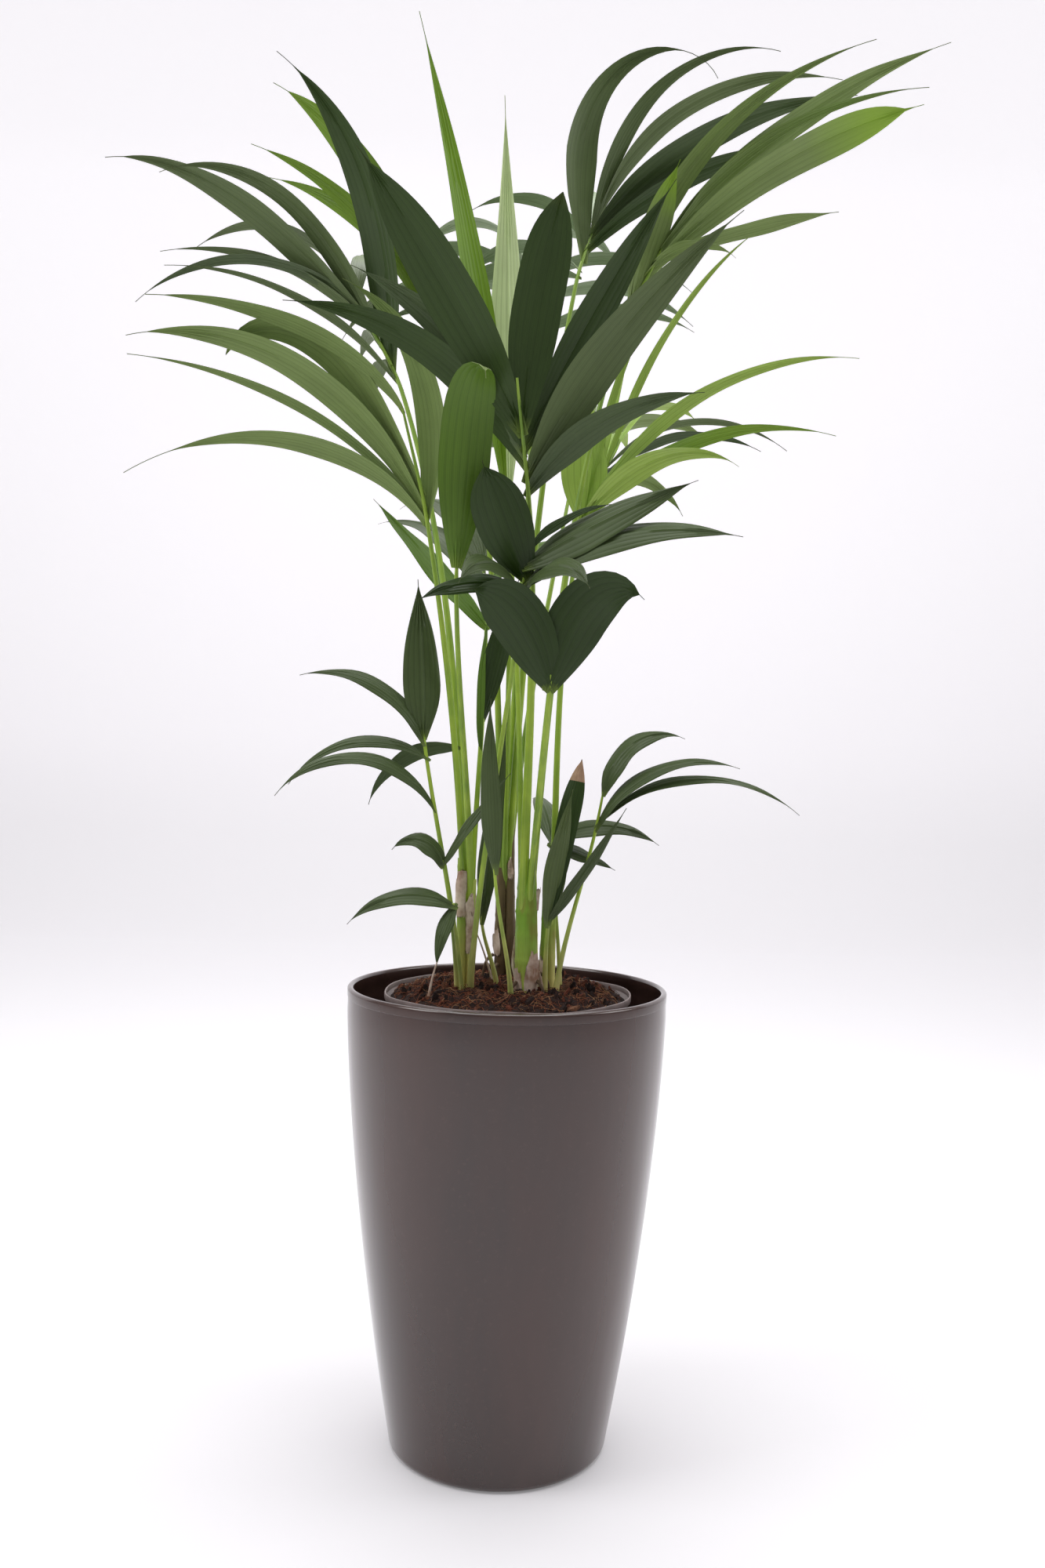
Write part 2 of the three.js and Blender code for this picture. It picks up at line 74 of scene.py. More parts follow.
# The top of each stem, where its petioles part.
STEM_TOPS = {
    "left": (-52, -28, 690),
    "centre": (20, -50, 672),
    "right": (50, -26, 662),
    "back": (-8, 68, 728),
}
GAP = 0.3  # between a stem's top and the foot of its petioles
GATHER = 0.6  # how far a petiole's foot stands out from the stem's axis, as a share of its given place
TIP_RADIUS = 1.4  # of a rachis at its crest
LEAF_SINK = 7  # how deep a leaflet starts inside its rachis
LEAF_SEAT = 0.7  # how far it sits towards the face, in radii of the rachis
LEAF_ROOT = 0.2  # the width it starts with, as a share of its widest
LEAF_SHAPE = (1, 0.38, 1.8)
FACING = 2  # how strongly a blade rolls its upper side the way the frond faces
WISP = 0.95  # where a blade has narrowed to its filament, as a share of its length
THREAD = 0.5  # half the width of the filament that a blade ends in
CUT = 0.94  # where a cut blade ends, as a share of its length
CUT_DRY = 0.86  # where it starts to be dry
ROW_LENGTH = 18  # of a blade, for one more row of faces
BLADE_ROWS = 12  # that the shortest blade has
ROOT_FOLD = 1.8  # how much more a blade is folded at its root, as a share of the fold
ROOT_SHARE = 0.2  # how far that reaches, as a share of the length
FULL_HALF = 9  # the half width from which a blade has its full pleats, waves and thickness
EDGE_WAVES = 2.2  # along each edge of a blade
BLADE_COLUMNS = ((44, 14), (28, 10), (0, 8))  # for blades wider than the first number

# foot, neck and crest: where a stalk starts, where its lowest leaflet leaves it, and its end.
# face: the way the upper sides of the leaflets look, as a heading and a height in degrees.
# A leaflet is (at, heading, lean, length, turn, width, late, peak, blunt): it leaves the rachis at
# `at`, along a heading and a lean from the vertical, and leans `turn` degrees more by its tip.
# LEAF_SHAPE gives the last three where a row leaves them out: a `late` above 1 keeps the turn for
# the outer end, `peak` is where the blade is widest, and a high `blunt` rounds its end.
# tints names the leaflets of another tint, wisps those with a share other than WISP, and cut the
# one whose tip was cut off.
FRONDS = [
    dict(name="frond_front_tall", stem="centre", foot=(15, -57), neck=(17, -120, 1109),
         crest=(-4, -190, 1288), radius=6, face=(90, 20), tint="deep",
         tints={3: "dull", 4: "dusky", 6: "dusky"}, wisps={1: 1.0},
         leaflets=[
             (0.70, 205, 30, 346, 12, 64, 1, 0.5, 2.6),
             (0.72, -50, 5.4, 256, 20, 58, 1.4, 0.5, 4.0),
             (0.60, 8, 24, 364, 8, 48, 1, 0.45, 1.9),
             (0.42, -20, 27, 375, 28, 56),
             (0.34, -25, 36, 240, 58, 36),
             (0.50, 174, 25, 366, 62, 44),
             (0.57, 168, 22, 318, 42, 44),
         ]),
    dict(name="frond_left_pale", stem="left", foot=(-59, -32), neck=(-108, -80, 1139),
         crest=(-139, -110, 1272), radius=4.6, face=(90, 22), tint="pale",
         tints={6: "dusky"}, wisps={2: 1.0, 4: 0.85},
         leaflets=[
             (1.00, 184, 18, 338, 74, 23, 0.5),
             (0.12, 190, 30, 431, 77, 38, 1.4, 0.5, 1.8),
             (0.30, 186, 30, 340, 132, 42, 3.4, 0.5, 2.6),
             (0.06, 178, 33, 430, 52, 15, 0.8),
             (0.00, 188, 29, 398, 95, 27, 0.8, 0.5, 1.4),
             (0.05, 182, -7, 330, 74, 42, 1.7),
             (-2.50, 181, 80, 140, 86, 26),
         ]),
    dict(name="frond_left_folded", stem="left", foot=(-45, -33), neck=(-70, -128, 1070),
         crest=(-69, -132, 1100), radius=4.4, face=(-90, 20), tint="green",
         leaflets=[
             (0.60, -72, 11, 262, 165, 60, 6, 0.5, 4),
         ]),
    dict(name="frond_left_high", stem="left", foot=(-54, -20), neck=(-156, 60, 1337),
         crest=(-235, 80, 1482), radius=5, face=(90, 40), tint="dull",
         tints={0: "deep", 3: "dusky"}, wisps={0: 0.93},
         leaflets=[
             (0.20, 195, 6, 436, 52, 52, 2.2, 0.38, 2.4),
             (0.70, 184, 46, 403, 53, 46, 2.6),
             (0.45, 190, 26, 388, 93, 33, 2.1),
             (0.65, 178, 36, 350, 98, 19),
             (0.50, 172, 37.5, 340, 60, 18),
             (0.25, 105, 60, 250, 70, 22),
             (0.05, 190, 36, 345, 60, 14),
             (1.00, 150, 28, 315, 84, 22),
             (0.85, 92, 24, 280, 80, 26),
             (0.40, 104, 50, 280, 56, 26),
         ]),
    dict(name="frond_left_top", stem="back", foot=(-16, 64), neck=(-65, 50, 1296),
         crest=(-110, 80, 1415), radius=4.6, face=(90, 30), tint="fresh",
         tints={3: "dull", 4: "dull", 5: "dull"},
         leaflets=[
             (0.70, 168, 20, 475, 40, 52, 2.0, 0.45, 2.6),
             (0.95, 168, 20, 405, 48, 33),
             (1.00, 158, 20, 385, 54, 34),
             (0.90, 125, 26, 350, 98, 22),
             (0.50, 120, 36, 330, 60, 30),
             (0.30, 95, 40, 300, 60, 30),
         ]),
    dict(name="frond_centre_low", stem=None, foot=(-46, -42), neck=(9, -150, 1064),
         crest=(12, -158, 1100), radius=3.6, face=(-90, 10), tint="deep",
         tints={1: "dusky", 2: "dusky", 3: "dusky", 5: "dusky"},
         leaflets=[
             (0.20, 212, 31, 138, -10, 66, 1, 0.52, 3.2),
             (0.55, -15, 59, 216, 12, 52),
             (0.00, -20, 44, 265, 60, 44, 0.7),
             (-0.30, -50, 34, 132, 112, 42),
             (-0.20, 205, 74, 136, 50, 32),
             (-0.50, 235, 26, 142, 120, 40),
             (1.00, -5, 35, 115, 50, 14),
         ]),
    dict(name="frond_front_pair", stem="centre", foot=(28, -57), neck=(42, -150, 944),
         crest=(45, -158, 1006), radius=4.2, face=(-90, 30), tint="deep",
         leaflets=[
             (0.00, 210, 26, 160, 70, 66, 2.5, 0.55, 3),
             (0.00, -25, 20, 178, 122, 68, 3, 0.5, 2.8),
         ]),
    dict(name="frond_right_new", stem="right", foot=(55, -28), neck=(83, 20, 1168),
         crest=(127, 50, 1281), radius=4.4, face=(90, 35), tint="bright",
         tints={0: "bright", 5: "fresh", 7: "dull", 8: "deep"},
         leaflets=[
             (0.00, 100, 3, 190, 12, 60),
             (0.00, 10, 10, 395, 32, 13, 2),
             (0.45, -5, 20, 395, 36, 13, 2),
             (0.10, 30, 12, 215, 8, 20),
             (0.15, -10, 33, 402, 65, 22, 1.3),
             (0.00, -25, 40, 350, 70, 24),
             (0.05, -38, 48, 245, 80, 36, 1.5),
             (0.60, 20, 36, 300, 84, 14),
             (0.50, 35, 45, 310, 58, 20),
             (0.90, 60, 40, 300, 60, 26),
             (0.70, 80, 44, 280, 60, 26),
         ]),
    dict(name="frond_right_high", stem="back", foot=(0, 64), neck=(68, 90, 1495),
         crest=(95, 120, 1595), radius=4.8, face=(90, 40), tint="dull",
         # Leaflet 2 takes the lighter tint that is a painted sheen.
         tints={2: "satin", 3: "deep", 4: "dusky", 5: "misty", 6: "misty", 7: "misty", 8: "misty"},
         wisps={0: 0.85},
         leaflets=[
             (0.35, -4, -7, 418, 162, 56, 2.4, 0.4, 1.1),
             (0.75, -8, 10.3, 384, 98, 28, 1.7, 0.34, 1.2),
             (0.95, 8, 17, 440, 79, 31),
             (0.45, -2, 41, 375, 50, 32),
             (0.70, -12, 36.5, 395, 56, 44),
             (0.90, 90, 34, 320, 70, 28),
             (0.60, 165, 22, 195, 95, 22),
             (0.20, 130, 44, 300, 70, 28),
             (0.10, 150, 60, 250, 60, 28),
         ]),
    dict(name="frond_right_far", stem="centre", foot=(28, -44), neck=(121, 0, 1395),
         crest=(172, 0, 1509), radius=5, face=(90, 40), tint="mid",
         tints={3: "olive", 7: "olive"},
         leaflets=[
             (0.35, -5, 4, 468, 71, 36, 0.9, 0.36, 1.1),
             (1.00, 3, 36, 464, 33, 42),
             (0.90, -5, 27, 408, 61, 24, 1, 0.38, 1.2),
             (0.72, -8, 40.5, 392, 37, 50, 1, 0.65, 3.4),
             (0.85, -18, 71, 230, 18, 22, 1, 0.55, 2.4),
             (0.80, -45, 60, 140, 76, 20),
             (0.40, 75, 40, 300, 60, 32),
             (0.30, -25, 14, 190, 10, 44, 1, 0.45, 2.4),
         ]),
    dict(name="spear_left", stem="centre", foot=(13, -43), neck=(-16, -10, 1185),
         crest=(-24, -10, 1230), radius=4, face=(-90, 0), tint="fresh",
         leaflets=[
             (0.50, 182, 8, 595, 7, 36, 1, 0.4, 1.35),
         ]),
    dict(name="spear_centre", stem="back", foot=(-8, 58), neck=(-12, 40, 1191),
         crest=(-15, 40, 1240), radius=4, face=(-90, 0), tint="silver",
         leaflets=[
             (0.50, 180, 1, 500, 2, 52, 1, 0.45, 0.95),
         ]),
    dict(name="frond_back_high", stem="back", foot=(-6, 76), neck=(15, 170, 1436),
         crest=(7, 260, 1580), radius=4.8, face=(90, 50), tint="misty",
         leaflets=[
             (1.00, 130, 30, 330, 80, 32),
             (1.00, 60, 32, 330, 80, 32),
             (0.80, 165, 44, 280, 80, 28),
             (0.75, 20, 44, 280, 80, 28),
             (0.50, 150, 50, 320, 66, 32),
             (0.45, 35, 50, 320, 66, 32),
             (0.15, 170, 50, 240, 70, 28),
             (0.10, 5, 50, 240, 70, 28),
             (1.00, 95, 40, 320, 70, 32),
         ]),
    dict(name="frond_back_left", stem="left", foot=(-44, -22), neck=(-40, 70, 1036),
         crest=(-50, 150, 1130), radius=3.6, face=(-90, 40), tint="green",
         tints={0: "green", 1: "dusky", 2: "dusky", 3: "dusky", 5: "deep", 6: "green"},
         leaflets=[
             (0.00, 172, 40, 228, 6, 44),
             (0.50, 130, 34, 300, 60, 40),
             (0.90, 120, 30, 320, 70, 40),
             (1.00, 80, 34, 320, 66, 40),
             (0.60, 50, 44, 260, 50, 34),
             (-1.85, -30, 12, 186, 7, 32, 1, 0.5, 2),
             (-2.40, 184, 4, 178, -12, 13),
         ]),
    dict(name="frond_back_right", stem="back", foot=(2, 72), neck=(66, 140, 1217),
         crest=(87, 220, 1316), radius=4, face=(90, 40), tint="mid",
         leaflets=[
             (0.10, 10, 40, 190, 112, 34),
             (0.60, 40, 36, 300, 74, 36),
             (0.90, 84, 22, 320, 84, 36),
             (1.00, 125, 34, 300, 70, 34),
             (0.40, 150, 44, 240, 66, 32),
         ]),
    dict(name="frond_small_left", stem=None, foot=(-58, -42), neck=(-108, -60, 881),
         crest=(-110, -60, 896), radius=3.4, face=(-90, 20), tint="dusky",
         leaflets=[
             (0.50, 150, 2, 190, 4, 48),
             (0.00, 188, 17, 186, 90, 26),
             (-1.30, 182, 54, 190, 94, 20),
             (-5.40, 200, 26, 232, 118, 24),
         ]),
    dict(name="frond_small_left_low", stem=None, foot=(-62, -46), neck=(-80, -69, 729),
         crest=(-82, -71, 737), radius=2.4, face=(-90, 30), tint="dusky",
         leaflets=[
             (0.50, 188, 10, 80, 135, 32, 1.2),
             (0.50, -12, 30, 138, 12, 18),
         ]),
    dict(name="frond_small_left_foot", stem=None, foot=(-56, -52), neck=(-67, -75, 680),
         crest=(-67, -76, 686), radius=2.2, face=(-90, 30), tint="dusky",
         leaflets=[
             (0.50, 186, 58, 140, 82, 30),
             (0.00, 220, 140, 76, 40, 20),
         ]),
    dict(name="frond_small_middle", stem=None, foot=(5, -86), neck=(-17, -124, 728),
         crest=(-17, -125, 736), radius=2.6, face=(-90, 0), tint="dusky",
         leaflets=[
             (0.50, 20, -8, 200, 10, 27),
         ]),
    dict(name="frond_small_middle_back", stem=None, foot=(-14, -4), neck=(-34, -10, 656),
         crest=(-34, -10, 664), radius=2.6, face=(-90, 0), tint="dusky",
         leaflets=[
             (0.50, 10, 4, 250, 4, 30),
         ]),
    dict(name="frond_small_right_base", stem=None, foot=(46, -50), neck=(48, -68, 660),
         crest=(49, -69, 668), radius=3, face=(-90, 10), tint="deep", cut=2, tints={0: "dull", 1: "dusky"},
         leaflets=[
             (0.50, -10, 6, 165, 6, 30),
             (0.60, -8, 36, 168, -6, 16),
             (0.90, 30, 9, 212, 6, 28, 1, 0.6, 3.2),
         ]),
    dict(name="frond_small_right", stem=None, foot=(60, -50), neck=(105, -44, 780),
         crest=(113, -40, 824), radius=3, face=(-90, 40), tint="dusky",
         leaflets=[
             (1.00, -4, 10, 138, 106, 38, 1.4),
             (0.00, -10, 20, 208, 90, 28),
             (0.10, -8, 39, 272, 92, 20),
         ]),
    dict(name="frond_small_right_low", stem=None, foot=(66, -10), neck=(53, -8, 752),
         crest=(53, -8, 762), radius=2.4, face=(-90, 40), tint="dusky",
         leaflets=[
             (0.90, -8, 52, 142, 75, 36),
             (0.30, -6, 100, 85, 20, 28),
             (0.80, 100, 40, 160, 60, 30),
         ]),
]

# Upper and under sides of the blades, mostly by age of the frond, and the colour of a tip still in growth;
# one lighter tint is not age but a painted sheen.
TINTS = {
    "deep": ((40, 60, 16), (50, 70, 26)),
    "dusky": ((68, 83, 46), (76, 92, 58)),
    "dull": ((84, 100, 56), (90, 106, 65)),
    # Painted sheen: a lighter copy of the dull green, for a blade that catches the light.
    "satin": ((94, 110, 64), (100, 116, 72)),
    "misty": ((118, 136, 98), (124, 142, 106)),
    "mid": ((112, 133, 66), (118, 138, 78)),
    "olive": ((108, 130, 62), (118, 138, 78), (138, 176, 44)),
    "green": ((82, 112, 32), (142, 160, 104)),
    "pale": ((113, 135, 68), (118, 139, 78)),
    "fresh": ((103, 138, 25), (112, 144, 38)),
    "bright": ((146, 178, 66), (150, 178, 78)),
    "silver": ((194, 212, 156), (198, 214, 162)),
}
ROOT_GREEN = (140, 164, 70)
TIP_STRAW = (150, 150, 84)
SPLASH_BROWN = (84, 58, 48)


def colour(*rgb):
    """Linear RGBA of a colour given as 0-255 screen values."""
    linear = [c / 255 / 12.92 if c <= 10 else ((c / 255 + 0.055) / 1.055) ** 2.4 for c in rgb]
    return (*linear, 1.0)


def shade(rgba, share):
    """The colour made lighter (share above 1) or darker."""
    return (*(min(1.0, c * share) for c in rgba[:3]), 1.0)


# ---- meshes ---------------------------------------------------------------------------------
def angles(count):
    """The angles of even steps round a circle."""
    return [math.tau * k / count for k in range(count)]


class Pile:
    """Points, faces, a slot for each face and a place (across, along) for each point of a joined mesh."""

    def __init__(self):
        self.points = []
        self.faces = []
        self.slots = []
        self.places = []

    def skin(self, rings, slot=0, place_of=None):
        """Adds one closed body: rings of equal size, each counter-clockwise about the way it runs.

        slot is a number or a function of row and column. place_of is such a function too, and the
        places are even round the body and along it without one.
        """
        first = len(self.points)
        size = len(rings[0])
        slot_of = slot if callable(slot) else lambda row, column: slot
        place_of = place_of or (lambda row, column: (column / size, row / (len(rings) - 1)))
        for row, ring in enumerate(rings):
            self.points.extend(point * MM for point in ring)
            self.places.extend(place_of(row, column) for column in range(size))
        for row in range(len(rings) - 1):
            low = first + row * size
            for column in range(size):
                right = (column + 1) % size
                self.faces.append((low + column, low + right, low + size + right, low + size + column))
                self.slots.append(slot_of(row, column))
        last = first + (len(rings) - 1) * size
        self.faces.append(tuple(reversed(range(first, first + size))))
        self.faces.append(tuple(range(last, last + size)))
        self.slots.extend((slot_of(0, 0), slot_of(len(rings) - 2, 0)))

    def tube(self, line, radii, sides, slot=0):
        """Adds a round tube along a list of points."""
        rings = []
        side = None
        last = len(line) - 1
        for i, point in enumerate(line):
            ahead = (line[min(i + 1, last)] - line[max(i - 1, 0)]).normalized()
            start = side if side is not None else ahead.orthogonal()
            side = (start - ahead * start.dot(ahead)).normalized()
            over = ahead.cross(side)
            rings.append([point + (side * math.cos(a) + over * math.sin(a)) * radii[i]
                          for a in angles(sides)])
        self.skin(rings, slot)

    def twig(self, start, bend, end, thick, thin, steps, sides, slot=0):
        """Adds a thin round twig that runs in one bend and tapers."""
        shares = [i / steps for i in range(steps + 1)]
        line = [start.lerp(bend, t).lerp(bend.lerp(end, t), t) for t in shares]
        self.tube(line, [thick + (thin - thick) * t for t in shares], sides, slot)

    def build(self, name, materials, sharp=60):
        """Makes the mesh object, with the places as its UV map."""
        mesh = bpy.data.meshes.new(name)
        mesh.from_pydata(self.points, [], self.faces)
        for material in materials:
            mesh.materials.append(material)
        mesh.polygons.foreach_set("material_index", self.slots)
        uv = mesh.uv_layers.new(name="place")
        corners = [0] * len(mesh.loops)
        mesh.loops.foreach_get("vertex_index", corners)
        uv.data.foreach_set("uv", [value for corner in corners for value in self.places[corner]])
        mesh.update()
        piece = bpy.data.objects.new(name, mesh)
        bpy.context.scene.collection.objects.link(piece)
        smooth(piece, sharp)
        return piece


def only(piece):
    """Deselects everything else and makes the piece the active one."""
    bpy.ops.object.select_all(action="DESELECT")
    piece.select_set(True)
    bpy.context.view_layer.objects.active = piece


def smooth(piece, sharp):
    """Smooths the shading of all edges that turn less than an angle in degrees."""
    only(piece)
    bpy.ops.object.shade_smooth_by_angle(angle=math.radians(sharp))


def finish(piece, slot, *nodes):
    """Says what the piece rides on and which frame nodes it stands for; the slot is not used."""
    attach(piece, BODY)
    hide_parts(*nodes)


def turned(name, profile, steps, material, sharp=35):
    """A closed shell of revolution: a corner is extruded along the profile and spun about Z."""
    bpy.ops.object.select_all(action="DESELECT")
    bpy.ops.mesh.primitive_plane_add(size=MM, location=(0, 0, 0))
    piece = bpy.context.object
    piece.name = piece.data.name = name
    bpy.ops.object.mode_set(mode="EDIT")
    bpy.ops.mesh.merge(type="CENTER")
    here = Vector((0, 0, 0))
    for i, (radius, height) in enumerate(profile):
        there = Vector((radius * MM, 0, height * MM))
        if i == 0:
            bpy.ops.transform.translate(value=there - here)
        else:
            bpy.ops.mesh.extrude_vertices_move(TRANSFORM_OT_translate={"value": there - here})
        here = there
    bpy.ops.mesh.select_all(action="SELECT")
    bpy.ops.mesh.spin(steps=steps, angle=math.tau, center=(0, 0, 0), axis=(0, 0, 1))
    bpy.ops.mesh.select_all(action="SELECT")
    bpy.ops.mesh.remove_doubles(threshold=MM / 20)
    bpy.ops.mesh.normals_make_consistent(inside=False)
    bpy.ops.object.mode_set(mode="OBJECT")
    piece.data.materials.append(material)
    smooth(piece, sharp)
    return piece


def arc(centre, radius, start, end, steps):
    """Points of an arc in a profile, by angles in degrees."""
    points = []
    for i in range(steps + 1):
        a = math.radians(start + (end - start) * i / steps)
        points.append((centre[0] + radius * math.cos(a), centre[1] + radius * math.sin(a)))
    return points


# ---- shader effects -------------------------------------------------------------------------
class Nodes:
    """A node tree with short ways to fill it. A value is a constant, or a socket that is joined."""

    def __init__(self, tree):
        self.tree = tree

    def add(self, kind, values=(), **settings):
        """Adds a node, sets its properties and gives its named or numbered inputs."""
        made = self.tree.nodes.new("ShaderNode" + kind)
        count = len(self.tree.nodes)
        made.location = (200 * (count % 8), -220 * (count // 8))
        for key, value in settings.items():
            setattr(made, key, value)
        for key, value in dict(values).items():
            self.give(made.inputs[key], value)
        return made

    def give(self, target, value):
        """Joins a socket to an input, or sets the input to a constant."""
        if isinstance(value, bpy.types.NodeSocket):
            self.tree.links.new(value, target)
        else:
            target.default_value = value

    def maths(self, operation, first, second=0.0, clamp=False):
        """The value of an operation on one or two values."""
        made = self.add("Math", {0: first, 1: second}, operation=operation, use_clamp=clamp)
        return made.outputs[0]


def effect(name, vector, values, outputs):
    """A new shader group with one vector, some values and some outputs, and its inner sockets."""
    tree = bpy.data.node_groups.new(name, "ShaderNodeTree")
    tree.interface.new_socket(name=vector, in_out="INPUT", socket_type="NodeSocketVector")
    for label, default in values.items():
        socket = tree.interface.new_socket(name=label, in_out="INPUT", socket_type="NodeSocketFloat")
        socket.default_value = default
    for label in outputs:
        tree.interface.new_socket(name=label, in_out="OUTPUT", socket_type="NodeSocketFloat")
    return Nodes(tree), tree.nodes.new("NodeGroupInput").outputs, tree.nodes.new("NodeGroupOutput").inputs


def mottle_effect(name):
    """Soft blotches, as a mask from 0 to 1."""
    made, given, out = effect(name, "Vector", {"Scale": 10.0, "Contrast": 1.0}, ["Mask"])
    blotches = made.add("TexNoise", {"Vector": given["Vector"], "Scale": given["Scale"],
                                     "Detail": 3.0, "Roughness": 0.6})
    centred = made.maths("SUBTRACT", blotches.outputs["Fac"], 0.5)
    grown = made.maths("MULTIPLY", centred, given["Contrast"])
    made.give(out["Mask"], made.maths("ADD", grown, 0.5, clamp=True))
    return made.tree


def veins_effect(name):
    """Fine lines that run along a blade or stalk, by its place across, broken up along it."""
    made, given, out = effect(name, "Place", {"Lines": 20.0, "Broken": 0.4}, ["Lines", "Along"])
    across, along, _ = made.add("SeparateXYZ", {0: given["Place"]}).outputs
    phase = made.maths("MULTIPLY", across, given["Lines"])
    place = made.add("CombineXYZ", {"X": phase, "Y": made.maths("MULTIPLY", along, 3.0)})
    fine = made.add("TexNoise", {"Vector": place.outputs[0], "Scale": 1.0, "Detail": 2.0, "Roughness": 0.5})
    ridges = made.maths("ABSOLUTE", made.maths("SINE", made.maths("MULTIPLY", phase, math.pi)))
    blend = made.add("Mix", {0: given["Broken"], 2: ridges, 3: fine.outputs["Fac"]}, data_type="FLOAT")
    made.give(out["Lines"], blend.outputs[0])
    made.give(out["Along"], along)
    return made.tree


EFFECTS = {"Mottle": mottle_effect, "Veins": veins_effect}


class Finish(Nodes):
    """A material under construction: its Principled shader and short ways to feed it."""

    def __init__(self, name, base, roughness, **constants):
        self.material = bpy.data.materials.new(name)
        self.material.use_nodes = True
        super().__init__(self.material.node_tree)
        self.shader = self.tree.nodes["Principled BSDF"].inputs
        self.coordinates = self.add("TexCoord").outputs
        self.feed(Base_Color=base, Roughness=roughness, **constants)

    def feed(self, **values):
        """Gives inputs of the shader, each named with _ for a space."""
        for key, value in values.items():
            self.give(self.shader[key.replace("_", " ")], value)

    def group(self, name, values):
        """The outputs of a shared effect, which is built at its first use."""
        tree = bpy.data.node_groups.get(name) or EFFECTS[name](name)
        return self.add("Group", values, node_tree=tree).outputs

    def mottle(self, scale, contrast, squeeze=1.0):
        """A mask of soft blotches, drawn out along Z where squeeze is under 1."""
        place = self.coordinates["Object"]
        if squeeze < 1:
            place = self.add("Mapping", {"Vector": place, "Scale": (1.0, 1.0, squeeze)}).outputs["Vector"]
        return self.group("Mottle", {"Vector": place, "Scale": scale, "Contrast": contrast})["Mask"]

    def veins(self, lines, broken):
        """Lines along the piece and the place along it, by its own UV map."""
        return self.group("Veins", {"Place": self.coordinates["UV"], "Lines": lines, "Broken": broken})

    def place(self):
        """X, Y and Z on the piece."""
        return self.add("SeparateXYZ", {0: self.coordinates["Object"]}).outputs

    def ramp(self, source, low, high, first=0.0, last=1.0):
        """A clamped straight ramp of a value, from first at low to last at high."""
        return self.add("MapRange", {0: source, 1: low, 2: high, 3: first, 4: last}).outputs[0]

    def mixed(self, factor, first, second):
        """A colour between two colours."""
        return self.add("Mix", {0: factor, 6: first, 7: second}, data_type="RGBA").outputs[2]

    def over(self, base, tint, share, mask, low, high):
        """The base colour under a tint, which grows from nothing to a share from low to high of a mask."""
        return self.mixed(self.ramp(mask, low, high, 0.0, share), base, tint)

    def bump(self, height, depth, strength=1.0):
        """Raises the surface by a height from 0 to 1."""
        made = self.add("Bump", {"Height": height, "Distance": depth, "Strength": strength})
        self.feed(Normal=made.outputs[0])


# ---- finishes -------------------------------------------------------------------------------
def leaf_material(name, rgb, roughness, tip):
    """A blade with a soft gloss: painted shade darkens its creases, fine veins run along it, lighter partly
    by their own colour and partly as a painted sheen, with soft blotches and a paler, yellower root.
    """
    base = colour(*rgb)
    made = Finish(name, base, roughness, Specular_IOR_Level=0.32)
    fine = made.veins(lines=26.0, broken=0.5)
    creases = made.veins(lines=7.0, broken=0.3)["Lines"]
    blotches = made.mottle(scale=14.0, contrast=1.6)
    toned = made.mixed(blotches, shade(base, 0.84), shade(base, 1.14))
    # Lighter lines on the vein ridges: partly the veins' own colour, partly a painted sheen.
    lined = made.over(toned, shade(base, 1.6), 0.4, fine["Lines"], 0.5, 1.0)
    # Painted shade: the colour is darkened along the creases between the pleats.
    crease_shade_painted = made.over(lined, shade(base, 0.62), 0.4, creases, 0.5, 0.12)
    along = fine["Along"]
    ended = made.over(crease_shade_painted, colour(*ROOT_GREEN), 0.45, along, 0.07, 0.0)
    if tip:
        ended = made.over(ended, colour(*tip[0]), 0.8, along, 0.62, 0.84)
    else:
        ended = made.over(ended, colour(*TIP_STRAW), 0.12, along, 0.93, 1.0)
    made.feed(Base_Color=ended, Roughness=made.ramp(blotches, 0.0, 1.0, roughness - 0.05, roughness + 0.08))
    made.bump(creases, 0.5 * MM, strength=0.7)
    return made.material


def dry_material():
    """Papery dead tissue with fibres."""
    made = Finish("leaf_dry", colour(150, 112, 84), 0.8)
    fibres = made.veins(lines=24.0, broken=0.8)["Lines"]
    toned = made.mixed(made.mottle(scale=60.0, contrast=2.0), colour(112, 74, 52), colour(186, 152, 124))
    made.feed(Base_Color=made.over(toned, colour(206, 178, 150), 0.4, fibres, 0.3, 0.8))
    made.bump(fibres, 0.4 * MM)
    return made.material


def paper_material():
    """Dry sheath: tan and pinkish paper with long fibres and brown stains."""
    made = Finish("sheath_paper", colour(196, 168, 140), 0.75)
    fibres = made.veins(lines=40.0, broken=0.75)["Lines"]
    stains = made.mottle(scale=44.0, contrast=2.8)
    toned = made.mixed(stains, colour(244, 226, 210), colour(160, 116, 88))
    made.feed(Base_Color=made.over(toned, colour(246, 232, 218), 0.5, fibres, 0.45, 0.9),
              Roughness=made.ramp(stains, 0.0, 1.0, 0.65, 0.85))
    made.bump(fibres, 0.5 * MM)
    return made.material


def stalk_material():
    """Petioles: cream where they leave the soil, yellow-green above and greener higher up."""
    cream, lime, green = colour(214, 204, 130), colour(160, 188, 56), colour(136, 166, 54)
    deep, darker, pale = colour(96, 138, 36), colour(84, 124, 34), colour(194, 212, 104)
    made = Finish("stalk_green", colour(160, 182, 80), 0.42)
    ribs = made.veins(lines=12.0, broken=0.6)["Lines"]
    blotches = made.mottle(scale=18.0, contrast=2.2)
    apart = made.mottle(scale=55.0, contrast=3.0, squeeze=0.05)
    rise = made.place()["Z"]
    grown = made.over(cream, lime, 1.0, rise, 0.585, 0.70)
    grown = made.over(grown, green, 1.0, rise, 0.80, 1.25)
    blotched = made.over(grown, deep, 0.5, blotches, 0.25, 0.85)
    varied = made.over(blotched, darker, 0.55, apart, 0.45, 0.9)
    made.feed(Base_Color=made.over(varied, pale, 0.3, ribs, 0.5, 1.0),
              Roughness=made.ramp(blotches, 0.0, 1.0, 0.36, 0.5))
    made.bump(ribs, 0.3 * MM, strength=0.6)
    return made.material


